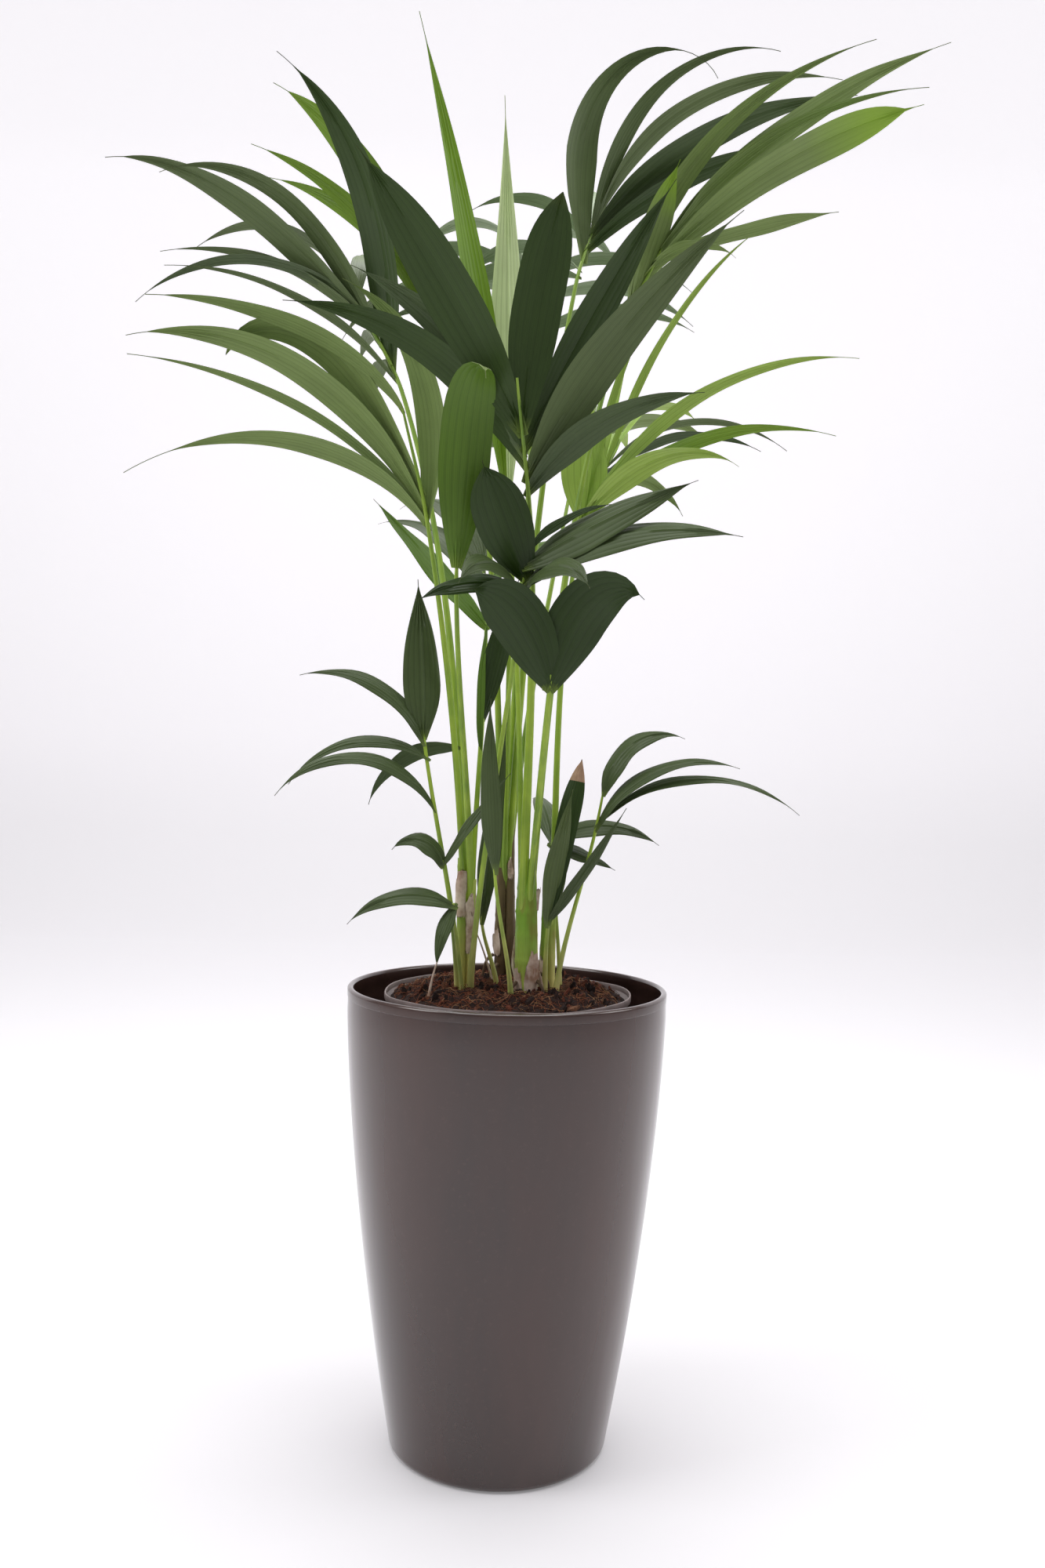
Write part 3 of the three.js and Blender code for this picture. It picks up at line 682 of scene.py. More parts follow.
def sheath_material(name, low, high, brown):
    """A stem wrapped in old leaf sheaths: ribs along it, with browned patches."""
    made = Finish(name, colour(*high), 0.55)
    ribs = made.veins(lines=34.0, broken=0.7)["Lines"]
    patches = made.mottle(scale=48.0, contrast=2.4, squeeze=0.35)
    grown = made.over(colour(*low), colour(*high), 1.0, made.place()["Z"], 0.585, 0.66)
    lined = made.over(grown, shade(colour(*high), 1.5), 0.4, ribs, 0.45, 0.95)
    made.feed(Base_Color=made.over(lined, colour(*brown), 0.6, patches, 0.6, 0.95),
              Roughness=made.ramp(patches, 0.2, 0.9, 0.42, 0.8))
    made.bump(ribs, 0.6 * MM)
    return made.material


def planter_material(settings):
    """Glossy moulded plastic with a thin film of dust and faint wiping marks."""
    base = (*settings.colour, 1.0)
    made = Finish("planter_gloss", base, 0.2, Coat_Weight=0.5, Coat_Roughness=0.02, Coat_IOR=1.55)
    wiped = made.mottle(scale=9.0, contrast=2.0, squeeze=0.22)
    dust = made.mottle(scale=160.0, contrast=2.4)
    smears = made.ramp(wiped, 0.25, 0.85)
    film = made.mixed(smears, shade(base, 0.85), shade(base, 1.5))
    made.feed(Base_Color=made.over(film, shade(base, 1.8), 0.3, dust, 0.7, 1.0),
              Roughness=made.ramp(wiped, 0.2, 0.9, 0.14, 0.26),
              Coat_Weight=made.ramp(smears, 0.0, 1.0, 0.5, 0.34))
    made.bump(dust, 0.02 * MM, strength=0.3)
    return made.material


def plastic_material(name, rgb, roughness):
    """Thin moulded plastic, scuffed and splashed with soil."""
    base = colour(*rgb)
    made = Finish(name, base, roughness)
    scuffs = made.mottle(scale=70.0, contrast=2.0)
    splash = made.mottle(scale=26.0, contrast=3.0)
    scuffed = made.mixed(scuffs, shade(base, 0.8), shade(base, 1.25))
    made.feed(Base_Color=made.over(scuffed, colour(*SPLASH_BROWN), 0.7, splash, 0.72, 1.0),
              Roughness=made.ramp(scuffs, 0.0, 1.0, roughness - 0.1, roughness + 0.15))
    made.bump(scuffs, 0.15 * MM, strength=0.5)
    return made.material


def coir_material(name, dark, light, roughness=0.9):
    """Coir: fibre in lumps with lighter strands, its darker blotches partly its own tone and partly painted
    shade in the gaps.
    """
    made = Finish(name, colour(*dark), roughness, Specular_IOR_Level=0.3)
    tone_and_gap_shade = made.mottle(scale=120.0, contrast=2.4)
    grains = made.mottle(scale=520.0, contrast=2.4)
    # The darker blotches are partly the coir's own tone and partly painted shade for the dark gaps between
    # lumps.
    gap_shaded_tone = made.mixed(tone_and_gap_shade, colour(*dark), colour(*light))
    made.feed(Base_Color=made.over(gap_shaded_tone, shade(colour(*light), 1.5), 0.6, grains, 0.4, 1.0),
              Roughness=made.ramp(tone_and_gap_shade, 0.0, 1.0, roughness - 0.15, 1.0))
    made.bump(grains, 1.2 * MM)
    return made.material


def stage_material(rgb):
    """Matt paper that glows a little more the farther it is from the lights."""
    base = colour(*rgb)
    made = Finish("studio_paper", base, 0.8, Emission_Strength=1.0)
    _, deep, high = made.place()
    floor = made.mixed(made.ramp(deep, 0.0, 5.5), shade(base, 0.26), shade(base, 0.52))
    cloudy = made.mottle(scale=1.3, contrast=0.6)
    made.feed(Emission_Color=made.mixed(made.ramp(high, 0.5, 4.0), floor, shade(base, 0.98)),
              Base_Color=made.mixed(cloudy, shade(base, 0.98), shade(base, 1.02)))
    return made.material


# ---- lines and blades of the plant ----------------------------------------------------------
def heading(degrees, lean):
    """The way of a heading round Z from +X that leans so much from the vertical, in degrees."""
    around = math.radians(degrees)
    down = math.radians(lean)
    return Vector((math.cos(around) * math.sin(down), math.sin(around) * math.sin(down), math.cos(down)))


def hermite(start, end, leave, arrive, t):
    """A point of the curve between two points, with its run at each."""
    a, b = 1 - t, t
    places = start * (a * a * (1 + 2 * t)) + end * (b * b * (3 - 2 * t))
    return places + leave * (a * a * b) - arrive * (a * b * b)


def rachis_line(frond):
    """The line of a frond from its foot (-1) by its neck (0) to its crest (1)."""
    top = STEM_TOPS.get(frond["stem"])
    height = (top[2] if top else SOIL_CROWN) + GAP
    foot = Vector((*frond["foot"], height))
    if top:
        foot = Vector((*top[:2], height)).lerp(foot, GATHER)
    neck = Vector(frond["neck"])
    crest = Vector(frond["crest"])
    rise = neck - foot
    run = crest - neck
    at_neck = (rise.normalized() + run.normalized()).normalized()
    at_foot = rise.lerp(Vector((0, 0, rise.length)), 0.5)

    def line(s):
        if s > 0:
            return hermite(neck, crest, at_neck * run.length, run, min(s, 1))
        return hermite(foot, neck, at_foot, at_neck * rise.length, s + 1)

    return line


def place_on_line(frond, at):
    """How far along the rachis line a leaflet leaves it; below the neck in rachis lengths."""
    if at >= 0:
        return at
    rise = frond["neck"][2] - SOIL_CROWN
    run = frond["crest"][2] - frond["neck"][2]
    return at * run / rise


def leaf_width(t, peak, blunt):
    """Width at a share of the length, as a share of the widest."""
    if t < peak:
        return LEAF_ROOT + (1 - LEAF_ROOT) * math.sin(math.pi / 2 * t / peak)
    return 1 - ((t - peak) / (1 - peak)) ** blunt


def blade(pile, root, face, row, settings, slots, rng, wisp, cut):
    """Adds one leaflet: a thin pleated blade, folded along its midrib, that ends in a filament."""
    _, way, lean, length, turn, width, late, peak, blunt = (*row, *LEAF_SHAPE[len(row) - 6:])
    upper_slot, under_slot, dry_slot = slots

    def along(t):
        return heading(way, lean + turn * t ** late)

    def upper(t):
        return heading(way, lean + turn * t ** late - 90)

    side = heading(way + 90, 90)
    rows = BLADE_ROWS + round(length / ROW_LENGTH)
    slices = rows * 2
    places = [root - along(0) * LEAF_SINK]
    for i in range(slices):
        places.append(places[i] + along((i + 0.5) / slices) * ((length + LEAF_SINK) / slices))
    # the roll about the midrib that brings the upper side round to the frond's face
    pull = FACING if face.dot(upper(0.5)) >= 0 else -FACING
    roll = math.atan2(pull * face.dot(side), pull * face.dot(upper(0.5)) + 1)
    middle = side * math.sin(roll) + upper(0.5) * math.cos(roll)
    sunny = 1 if face.dot(middle) >= 0 else -1
    columns = next(count for least, count in BLADE_COLUMNS if width > least)
    phase = rng.uniform(0, math.tau)
    wave = rng.uniform(0.6, 1.6)
    thick = settings.blade_thickness / MM
    end = CUT if cut else 1.0
    rings = []
    for r in range(rows + 1):
        t = end * r / rows
        exact = t * slices
        low = min(int(exact), slices - 1)
        centre = places[low].lerp(places[low + 1], exact - low)
        look = side * math.sin(roll) + upper(t) * math.cos(roll)
        across = along(t).cross(look)
        half = max(width * leaf_width(min(t / wisp, 1), peak, blunt) / 2, THREAD)
        fold = math.radians(settings.fold) * (1 + ROOT_FOLD * max(0, 1 - t / ROOT_SHARE))
        body = min(1.0, half / FULL_HALF)
        top, under = [], []
        for c in range(columns + 1):
            x = 2 * c / columns - 1
            ridge = settings.pleat_depth / MM * body * (1 if c % 2 else -1) * (0.4 + 0.6 * (1 - abs(x)))
            drop = -sunny * abs(x) * half * math.tan(fold)
            swing = phase + t * math.tau * EDGE_WAVES + (1.5 if x > 0 else 0)
            edge = x * x * wave * body * math.sin(swing)
            out = centre + across * (x * half) + look * (ridge + drop + edge)
            if cut and r > rows - 2:
                out += along(t) * rng.uniform(-2.5, 2.5)
            shell = thick / 2 * math.sqrt(max(0.04, 1 - x * x)) * max(0.35, body)
            top.append(out + look * shell)
            under.append(out - look * shell)
        top[0] = top[0].lerp(under[0], 0.5)
        top[-1] = top[-1].lerp(under[-1], 0.5)
        rings.append(top + under[-2:0:-1])
    ring_size = 2 * columns

    def slot_of(r, c):
        if cut and r > rows * CUT_DRY:
            return dry_slot
        return upper_slot if (c < columns) == (sunny > 0) else under_slot

    def place_of(r, c):
        share = c if c <= columns else ring_size - c
        return share / columns, r / rows

    pile.skin(rings, slot_of, place_of)


def stalk(pile, frond):
    """Adds a petiole with its rachis: channelled along its upper side and clasping at its foot."""
    line = rachis_line(frond)
    on_stem = frond["stem"] is not None
    sink = 40 if on_stem else 10
    clasp, clasp_height = (0.15 if on_stem else 0.4), 24
    channel = 0.22
    near = 0.02
    neck = 5 / 7
    steps, sides = 44, 12
    rings = []
    shares = [-1] + [i / steps for i in range(steps + 1)]
    for t in shares:
        reach = max(t, 0)
        s = reach / neck - 1 if reach < neck else (reach - neck) / (1 - neck)
        ahead = (line(min(s + near, 1)) - line(max(s - near, -1))).normalized()
        side = Vector((0, 1, 0)).cross(ahead).normalized()
        over = ahead.cross(side)
        radius = frond["radius"] + (TIP_RADIUS - frond["radius"]) * reach ** 1.4
        centre = line(s)
        rise = (centre - line(-1)).length
        radius *= 1 + clasp * math.exp(-rise / clasp_height)
        if t < 0:
            centre = centre - Vector((0, 0, sink))
            radius *= 0.6
            if on_stem:
                centre.xy = STEM_TOPS[frond["stem"]][:2]
        ring = []
        for a in angles(sides):
            flat = 1 - channel * max(0, math.sin(a)) ** 3
            ring.append(centre + side * (math.cos(a) * radius) + over * (math.sin(a) * radius * flat))
        rings.append(ring)
    pile.skin(rings, 0, lambda row, column: (column / sides, row / len(shares)))


def groups():
    """The end of the pieces' names and the fronds, for each stem and for those that leave the soil."""
    for stem in (*STEM_TOPS, None):
        yield stem or "low", [frond for frond in FRONDS if frond["stem"] == stem]


# ---- soil -----------------------------------------------------------------------------------
def soil_height(x, y):
    """Height of the lumpy coir, in millimetres."""
    r = math.hypot(x, y)
    share = min(max((r - SOIL_CROWN_RADIUS) / (SOIL_RADIUS - SOIL_CROWN_RADIUS), 0), 1)
    mound = SOIL_CROWN - (SOIL_CROWN - SOIL_EDGE) * share ** 1.3
    lumps = 4.0 * noise.noise(Vector((x, y, 3)) * 0.045) + 2.6 * noise.noise(Vector((x, y, 7)) * 0.13)
    return mound + lumps + 1.2 * noise.noise(Vector((x, y, 1)) * 0.4)


# ---- settings -------------------------------------------------------------------------------
def length_property(name, description, default):
    """A size in metres, shown in the scene's own unit of length."""
    return bpy.props.FloatProperty(name=name, description=description, default=default, unit="LENGTH")


class KentiaPlanterSettings(bpy.types.PropertyGroup):
    """Sizes and colour of the planter"""

    height: length_property("Height", "Height of the planter", node_range("planter")[1])
    rim_radius: length_property("Rim radius", "Outer radius of the planter's mouth", node_range("planter")[2])
    foot_radius: length_property("Foot radius", "Outer radius at the planter's foot", 135.5 * MM)
    wall: length_property("Wall", "Thickness of the planter's wall", 4.5 * MM)
    colour: bpy.props.FloatVectorProperty(
        name="Colour", description="Colour of the planter's plastic", subtype="COLOR", size=3,
        default=colour(58, 41, 37)[:3])


class KentiaSoilSettings(bpy.types.PropertyGroup):
    """How much loose coir lies on the soil"""

    fibres: bpy.props.IntProperty(name="Fibres", description="Coir strands on the soil", default=2400)
    chips: bpy.props.IntProperty(name="Chips", description="Coir chips on the soil", default=420)


class KentiaLeafSettings(bpy.types.PropertyGroup):
    """Section of the leaflets"""

    blade_thickness: length_property("Blade thickness", "Thickness of a blade at its midrib", 1.1 * MM)
    pleat_depth: length_property("Pleat depth", "Height of the pleats along a blade", 0.8 * MM)
    fold: bpy.props.FloatProperty(
        name="Fold", description="How far each half of a blade falls from the midrib, in degrees", default=9)


class KentiaStageSettings(bpy.types.PropertyGroup):
    """Brightness of the studio"""

    world: bpy.props.FloatProperty(name="Surrounding light", description="Brightness all round", default=0.28)
    key: bpy.props.FloatProperty(name="Key light", description="Power of the overhead light", default=210)


# ---- pieces ---------------------------------------------------------------------------------
class KENTIA_OT_planter(bpy.types.Operator):
    """Turns the tall planter with its rounded lip"""

    bl_idname = "kentia.planter"
    bl_label = "Planter"

    def execute(self, context):
        p = context.scene.kentia_planter
        height, rim, foot, wall = (v / MM for v in (p.height, p.rim_radius, p.foot_radius, p.wall))
        base_round, floor, lip, band = 11, 6, 4, 12
        belly, rows, straight = 1.6, 36, 30

        def radius(z):
            return foot + (rim - foot) * (1 - (1 - z / height) ** belly)

        rise = height - straight - base_round
        heights = [base_round + rise * (i / rows) for i in range(1, rows + 1)]
        corner = (radius(base_round) - base_round, base_round)
        profile = [(0, 0)] + arc(corner, base_round, -90, -6, 8)
        profile += [(radius(z), z) for z in heights]
        profile += [(rim - 0.9, height - band - 0.6), (rim - 0.35, height - band)]
        profile += arc((rim - lip, height - lip), lip, 0, 180, 12)
        under = height - 1.5 * band
        profile += [(rim - 2 * lip, height - band), (radius(under) - wall, under)]
        profile += [(radius(z) - wall, z) for z in reversed(heights)]
        profile += [(radius(base_round) - wall, base_round), (corner[0], floor), (0, floor)]
        piece = turned("planter_shell", profile, steps=160, material=planter_material(p))
        finish(piece, "planter", "planter")
        return {"FINISHED"}


class KENTIA_OT_pots(bpy.types.Operator):
    """Turns the thin nursery pot and the upturned pot it stands on"""

    bl_idname = "kentia.pots"
    bl_label = "Nursery pot and riser"

    def execute(self, context):
        self.nursery_pot()
        self.riser()
        return {"FINISHED"}

    def nursery_pot(self):
        """A thin pot with a turned-out lip, a little out of true near its rim."""
        low, high, rim = (v / MM for v in node_range("nursery_pot"))
        foot, wall, lip, under, rows = 118, 1.6, 5, 10, 12
        neck = rim - lip
        start = low + 3
        profile = [(0, low), (foot - 3, low), (foot, start)]
        for i in range(1, rows + 1):
            profile.append((foot + (neck - foot) * i / rows, start + (high - under - start) * i / rows))
        profile += [(rim - 0.6, high - under + 1.5), (rim, high - under + 3), (rim, high - 1.2)]
        profile += [(rim - 0.6, high), (rim - 2.0, high), (rim - 2.6, high - 1)]
        profile += [(rim - 2.6, high - under + 4), (neck - wall, high - under)]
        profile += [(foot - wall, start + wall), (foot - 4, low + wall), (0, low + wall)]
        plastic = plastic_material("nursery_plastic", (126, 112, 110), roughness=0.5)
        piece = turned("nursery_shell", profile, steps=144, material=plastic)
        for vertex in piece.data.vertices:
            around = math.atan2(vertex.co.y, vertex.co.x)
            near_rim = max(0, 1 - (high * MM - vertex.co.z) / (40 * MM))
            vertex.co.z += MM * near_rim * (math.sin(3 * around + 1) + 0.6 * math.sin(7 * around))
            push = 1 + near_rim * 0.006 * math.sin(5 * around + 2)
            vertex.co.x *= push
            vertex.co.y *= push
        finish(piece, "nursery_plastic", "nursery_pot")

    def riser(self):
        """An upturned pot with rings moulded round it."""
        low, high, mouth = (v / MM for v in node_range("riser_pot"))
        base, wall, groove, ribs = 102, 3, 0.8, 8
        profile = [(0, high), (base - 3, high), (base, high - 3)]
        for i in range(1, ribs):
            z = high - 3 - (high - 3 - low) * i / ribs
            r = base + (mouth - base) * i / ribs
            profile += [(r - groove, z + 3), (r, z), (r - groove, z - 3)]
        profile += [(mouth, low + 1), (mouth, low), (mouth - wall, low), (base - wall, high - wall - 3)]
        profile += [(0, high - wall)]
        plastic = plastic_material("riser_plastic", (34, 34, 35), roughness=0.6)
        piece = turned("riser_shell", profile, steps=96, material=plastic)
        finish(piece, "nursery_plastic", "riser_pot")


class KENTIA_OT_soil(bpy.types.Operator):
    """Fills the nursery pot with coir: a lumpy bed, chips and loose strands"""

    bl_idname = "kentia.soil"
    bl_label = "Coir"

    def execute(self, context):
        settings = context.scene.kentia_soil
        rng = random.Random(SEED)
        self.bed()
        self.chips(settings.chips, rng)
        self.fibres(settings.fibres, rng)
        return {"FINISHED"}

    def bed(self):
        """Turns the body of the soil and gives its top its lumps."""
        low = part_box("soil")[0].z / MM
        foot, rows = 113, 56
        profile = [(0, low), (foot, low), (SOIL_RADIUS - 1.6, SOIL_EDGE - 12)]
        profile += [(SOIL_RADIUS - 1.0, SOIL_EDGE - 4)]
        profile += [(SOIL_RADIUS * (1 - i / rows), SOIL_EDGE) for i in range(1, rows + 1)]
        coir = coir_material("coir_bed", (16, 9, 8), (48, 26, 20))
        piece = turned("soil_bed", profile, steps=200, material=coir, sharp=80)
        for vertex in piece.data.vertices:
            if vertex.co.z > (SOIL_EDGE - 1) * MM:
                vertex.co.z = soil_height(vertex.co.x / MM, vertex.co.y / MM) * MM
        finish(piece, "soil", "soil")

    def spot(self, rng, reach):
        """A random place on the soil, within a reach of its middle."""
        radius = reach * math.sqrt(rng.random())
        around = rng.uniform(0, math.tau)
        return radius * math.cos(around), radius * math.sin(around)

    def chips(self, count, rng):
        """Scatters husk chips, each a small body of five sides."""
        pile = Pile()
        for _ in range(count):
            x, y = self.spot(rng, SOIL_RADIUS - 8)
            centre = Vector((x, y, soil_height(x, y) + rng.uniform(-0.5, 1.2)))
            turn = Matrix.Rotation(rng.uniform(0, math.tau), 3, (rng.random(), rng.random(), 1.5))
            size = rng.uniform(1.6, 5.5)
            long = rng.uniform(1.0, 2.2)
            rings = []
            for end, scale in ((-1, 0.5), (-0.5, 1.0), (0.5, 0.9), (1, 0.4)):
                ring = []
                for a in angles(5):
                    r = size * scale * rng.uniform(0.6, 1.1)
                    corner = Vector((math.cos(a) * r, math.sin(a) * r * 0.6, end * size * long))
                    ring.append(centre + turn @ corner)
                rings.append(ring)
            pile.skin(rings, rng.choice((0, 0, 0, 1, 1, 2)))
        tones = [coir_material("chip_dark", (18, 10, 8), (42, 23, 18)),
                 coir_material("chip_red", (66, 32, 22), (106, 56, 38)),
                 coir_material("chip_light", (88, 56, 40), (122, 84, 62))]
        finish(pile.build("coir_chips", tones, sharp=30), "soil")

    def fibres(self, count, rng):
        """Scatters curled strands that lie on the soil or arch a little above it."""
        pile = Pile()
        steps = 6
        limit = SOIL_RADIUS - 4
        for _ in range(count):
            x, y = self.spot(rng, SOIL_RADIUS - 10)
            way = rng.uniform(0, math.tau)
            length = rng.uniform(8, 34)
            curl = rng.uniform(-2.4, 2.4)
            arch = rng.uniform(0.5, 7) * rng.random()
            line = []
            for i in range(steps + 1):
                t = i / steps
                scale = min(1, limit / max(1, math.hypot(x, y)))
                z = soil_height(x * scale, y * scale) + 0.4 + arch * math.sin(math.pi * t)
                line.append(Vector((x * scale, y * scale, z)))
                way += curl / steps + rng.uniform(-0.35, 0.35)
                x += math.cos(way) * length / steps
                y += math.sin(way) * length / steps
            thick = rng.uniform(0.15, 0.42)
            swell = [math.sin(math.pi * (0.15 + 0.7 * i / steps)) for i in range(steps + 1)]
            radii = [thick * (0.5 + 0.5 * share) for share in swell]
            pile.tube(line, radii, 3, rng.choice((0, 0, 0, 1, 1, 1, 2)))
        tones = [coir_material("fibre_dark", (34, 18, 14), (64, 35, 25)),
                 coir_material("fibre_red", (94, 50, 32), (132, 76, 50)),
                 coir_material("fibre_tan", (136, 94, 64), (172, 130, 94))]
        finish(pile.build("coir_fibres", tones), "soil")


class KENTIA_OT_stems(bpy.types.Operator):
    """Raises the short stems as bundles of canes, each wrapped in the sheath of an old leaf"""

    bl_idname = "kentia.stems"
    bl_label = "Stems"

    SINK = 9  # of the canes, below the soil's crown
    # foot, top, radii at the foot, half-way and at the top, skin
    CANES = {
        "left": (((-57, -30), (-60, -31, 738), (4.8, 6.0, 5.2), "green"),
                 ((-47, -30), (-46, -32, 712), (4.4, 4.6, 4.8), "cream"),
                 ((-53, -23), (-54, -20, 716), (4.0, 4.4, 4.8), "green")),
        "centre": (((23, -51), (21, -51, 740), (12.6, 13.2, 9.6), "leafy"),
                   ((35, -45), (28, -47, 726), (4.0, 4.6, 5.0), "cream")),
        "right": (((44, -28), (46, -28, 700), (5.6, 5.0, 4.4), "leafy"),
                  ((54, -25), (54, -28, 712), (5.4, 5.0, 4.6), "green")),
        "back": (((-11, 67), (-12, 68, 764), (8.0, 7.0, 6.4), "brown"),
                 ((3, 68), (-2, 68, 778), (7.2, 6.4, 6.0), "brown")),
    }
    # where a root leaves a cane, and where it enters the coir
    ROOTS = (((11, 62, 612), (24, 56, 574)), ((13, 66, 598), (30, 66, 573)),
             ((-20, 62, 606), (-33, 54, 573)), ((8, 60, 630), (17, 44, 575)),
             ((-14, 58, 594), (-22, 40, 575)), ((35, -57, 592), (45, -68, 572)),
             ((12, -61, 590), (4, -72, 573)), ((37, -44, 600), (52, -44, 573)))

    def execute(self, context):
        skins = {"green": sheath_material("sheath_green", (244, 230, 146), (146, 172, 66), (150, 110, 76)),
                 "leafy": sheath_material("sheath_leafy", (172, 190, 84), (118, 158, 40), (136, 118, 60)),
                 "cream": sheath_material("sheath_cream", (248, 232, 160), (190, 204, 96), (164, 128, 84)),
                 "brown": sheath_material("sheath_brown", (92, 68, 46), (104, 88, 54), (58, 40, 29))}
        order = list(skins)
        for name in STEM_TOPS:
            pile = Pile()
            for foot, top, radii, skin in self.CANES[name]:
                low = Vector((*foot, SOIL_CROWN - self.SINK))
                self.cane(pile, low, Vector(top), radii, order.index(skin))
            for start, end in self.ROOTS if name == "back" else ():
                bend = Vector((*end[:2], start[2] - 4))
                pile.twig(Vector(start), bend, Vector(end), thick=2.4, thin=1.4, steps=8, sides=8,
                          slot=order.index("brown"))
            piece = pile.build("sheath_" + name, list(skins.values()), sharp=50)
            finish(piece, "stems", "stem_" + name)
        return {"FINISHED"}

    def cane(self, pile, low, top, radii, slot):
        """Adds one cane, ringed at its nodes and overlapped by its sheath."""
        sides, rows = 24, 48
        foot, middle, end = radii
        rise = top.z - low.z
        phase = low.x
        rings = []
        for row in range(rows + 1):
            t = row / rows
            height = rise * t
            size = foot * (1 - t) * (1 - 2 * t) + middle * 4 * t * (1 - t) + end * t * (2 * t - 1)
            size *= 1 + 0.16 * max(0, 1 - t / 0.12) ** 2
            node = max(0, math.sin(height * 0.21 + phase)) ** 12
            ring = []
            for a in angles(sides):
                wrap = (a / math.tau + height * 0.004 + phase) % 1
                layer = 0.07 * wrap + 0.03 * math.sin(9 * a + phase) + 0.03 * math.sin(3 * a + height * 0.03)
                r = size * (0.95 + layer + 0.07 * node)
                ring.append(Vector((math.cos(a) * r, math.sin(a) * r, 0)) + low.lerp(top, t))
            rings.append(ring)
        pile.skin(rings, slot)


class KENTIA_OT_papers(bpy.types.Operator):
    """Adds the torn papery sheaths, the dead stalks and the browned collars round the stems"""

    bl_idname = "kentia.papers"
    bl_label = "Papery sheaths"

    # centre, radius, first angle, sweep, lowest and highest edge, how far it stands off at its top
    WRAPS = (
        ((-60, -30), 7.2, 170, 210, 664, 728, 1.6),
        ((-47, -31), 5.8, 200, 190, 648, 700, 2.4),
        ((-47, -31), 5.9, 185, 150, 618, 676, 1.0),
        ((-54, -21), 5.6, 20, 200, 640, 712, 2.0),
        ((23, -51), 14.8, 262, 78, 574, 632, 2.6),
        ((22, -51), 14.4, 196, 58, 570, 612, 2.2),
        ((22, -51), 14.6, 40, 120, 580, 662, 3.0),
        ((30, -46), 6.0, 270, 150, 676, 706, 1.6),
        ((38, -40), 3.6, 190, 220, 568, 622, 1.2),
        ((49, -27), 10.6, 60, 110, 576, 640, 2.0),
        ((-11, 67), 8.4, 200, 70, 604, 644, 2.0),
        ((1, 68), 7.2, 236, 50, 704, 736, 2.0),
        ((-4, 69), 15.0, 20, 150, 600, 680, 2.4),
    )
    DEAD_STALKS = (
        ((-93, -96, 576), (-90, -94, 600), (-83, -90, 620)),
        ((-17, -20, 576), (-26, -20, 612), (-40, -20, 644)),
        ((44, -60, 574), (43, -62, 590), (39, -66, 604)),
    )

    def execute(self, context):
        rng = random.Random(SEED + 1)
        paper = paper_material()
        pile = Pile()
        for wrap in self.WRAPS:
            self.wrap(pile, wrap, rng)
        finish(pile.build("papery_sheaths", [paper], sharp=70), "stems")
        stalks = Pile()
        for points in self.DEAD_STALKS:
            stalks.twig(*(Vector(point) for point in points), thick=1.7, thin=0.8, steps=10, sides=7)
        finish(stalks.build("dead_stalks", [paper]), "stems")
        return {"FINISHED"}

    def wrap(self, pile, wrap, rng):
        """Adds one torn wrap of papery sheath, ragged at its top and curled away from the stem."""
        (x, y), radius, first, sweep, low, high, off = wrap
        columns, rows, thick = 22, 12, 0.5
        ragged = [rng.uniform(0, 1) for _ in range(columns + 1)]
        torn = [rng.uniform(0, 0.22) for _ in range(columns + 1)]
        rings = []
        for row in range(rows + 1):
            outer, inner = [], []
            for column in range(columns + 1):
                share = column / columns
                peak = 0.35 + 0.65 * math.sin(math.pi * share) ** 0.7
                top = low + (high - low) * peak * (0.82 + 0.18 * ragged[column])
                up = row / rows
                a = math.radians(first + sweep * share)
                curl = off * up ** 2 * (0.5 + math.sin(7 * share + low))
                crinkle = 0.5 * math.sin(23 * share + 4 * up) * up
                r = radius + curl + crinkle
                foot = low + (high - low) * torn[column] * (0.3 + abs(share - 0.5))
                z = foot + (top - foot) * up
                outer.append(Vector((x + math.cos(a) * (r + thick), y + math.sin(a) * (r + thick), z)))
                inner.append(Vector((x + math.cos(a) * r, y + math.sin(a) * r, z)))
            rings.append(outer + inner[::-1])
        size = 2 * (columns + 1)
        pile.skin(rings, 0, lambda row, column: (min(column, size - 1 - column) / columns, row / rows))


class KENTIA_OT_stalks(bpy.types.Operator):
    """Runs the petioles and their rachises, those of each stem joined"""

    bl_idname = "kentia.stalks"
    bl_label = "Stalks"

    def execute(self, context):
        material = stalk_material()
        for group, fronds in groups():
            pile = Pile()
            for frond in fronds:
                stalk(pile, frond)
            piece = pile.build("stalks_" + group, [material])
            finish(piece, "fronds", *(frond["name"] for frond in fronds))
        return {"FINISHED"}


class KENTIA_OT_leaflets(bpy.types.Operator):
    """Unfolds the pleated leaflets, those of each stem joined"""

    bl_idname = "kentia.leaflets"
    bl_label = "Leaflets"

    def execute(self, context):
        settings = context.scene.kentia_leaves
        rng = random.Random(SEED + 2)
        materials = []
        for name, (upper, under, *tip) in TINTS.items():
            materials.append(leaf_material("leaf_" + name, upper, 0.4, tip))
            materials.append(leaf_material("leaf_" + name + "_under", under, 0.5, tip))
        materials.append(dry_material())
        order = list(TINTS)
        for group, fronds in groups():
            pile = Pile()
            for frond in fronds:
                line = rachis_line(frond)
                face = heading(frond["face"][0], 90 - frond["face"][1])
                for i, row in enumerate(frond["leaflets"]):
                    tint = 2 * order.index(frond.get("tints", {}).get(i, frond["tint"]))
                    root = line(place_on_line(frond, row[0])) + face * (frond["radius"] * LEAF_SEAT)
                    slots = (tint, tint + 1, len(materials) - 1)
                    wisp = frond.get("wisps", {}).get(i, WISP)
                    blade(pile, root, face, row, settings, slots, rng, wisp, frond.get("cut") == i)
            piece = pile.build("leaflets_" + group, materials)
            finish(piece, "fronds", *(frond["name"] for frond in fronds))
        return {"FINISHED"}


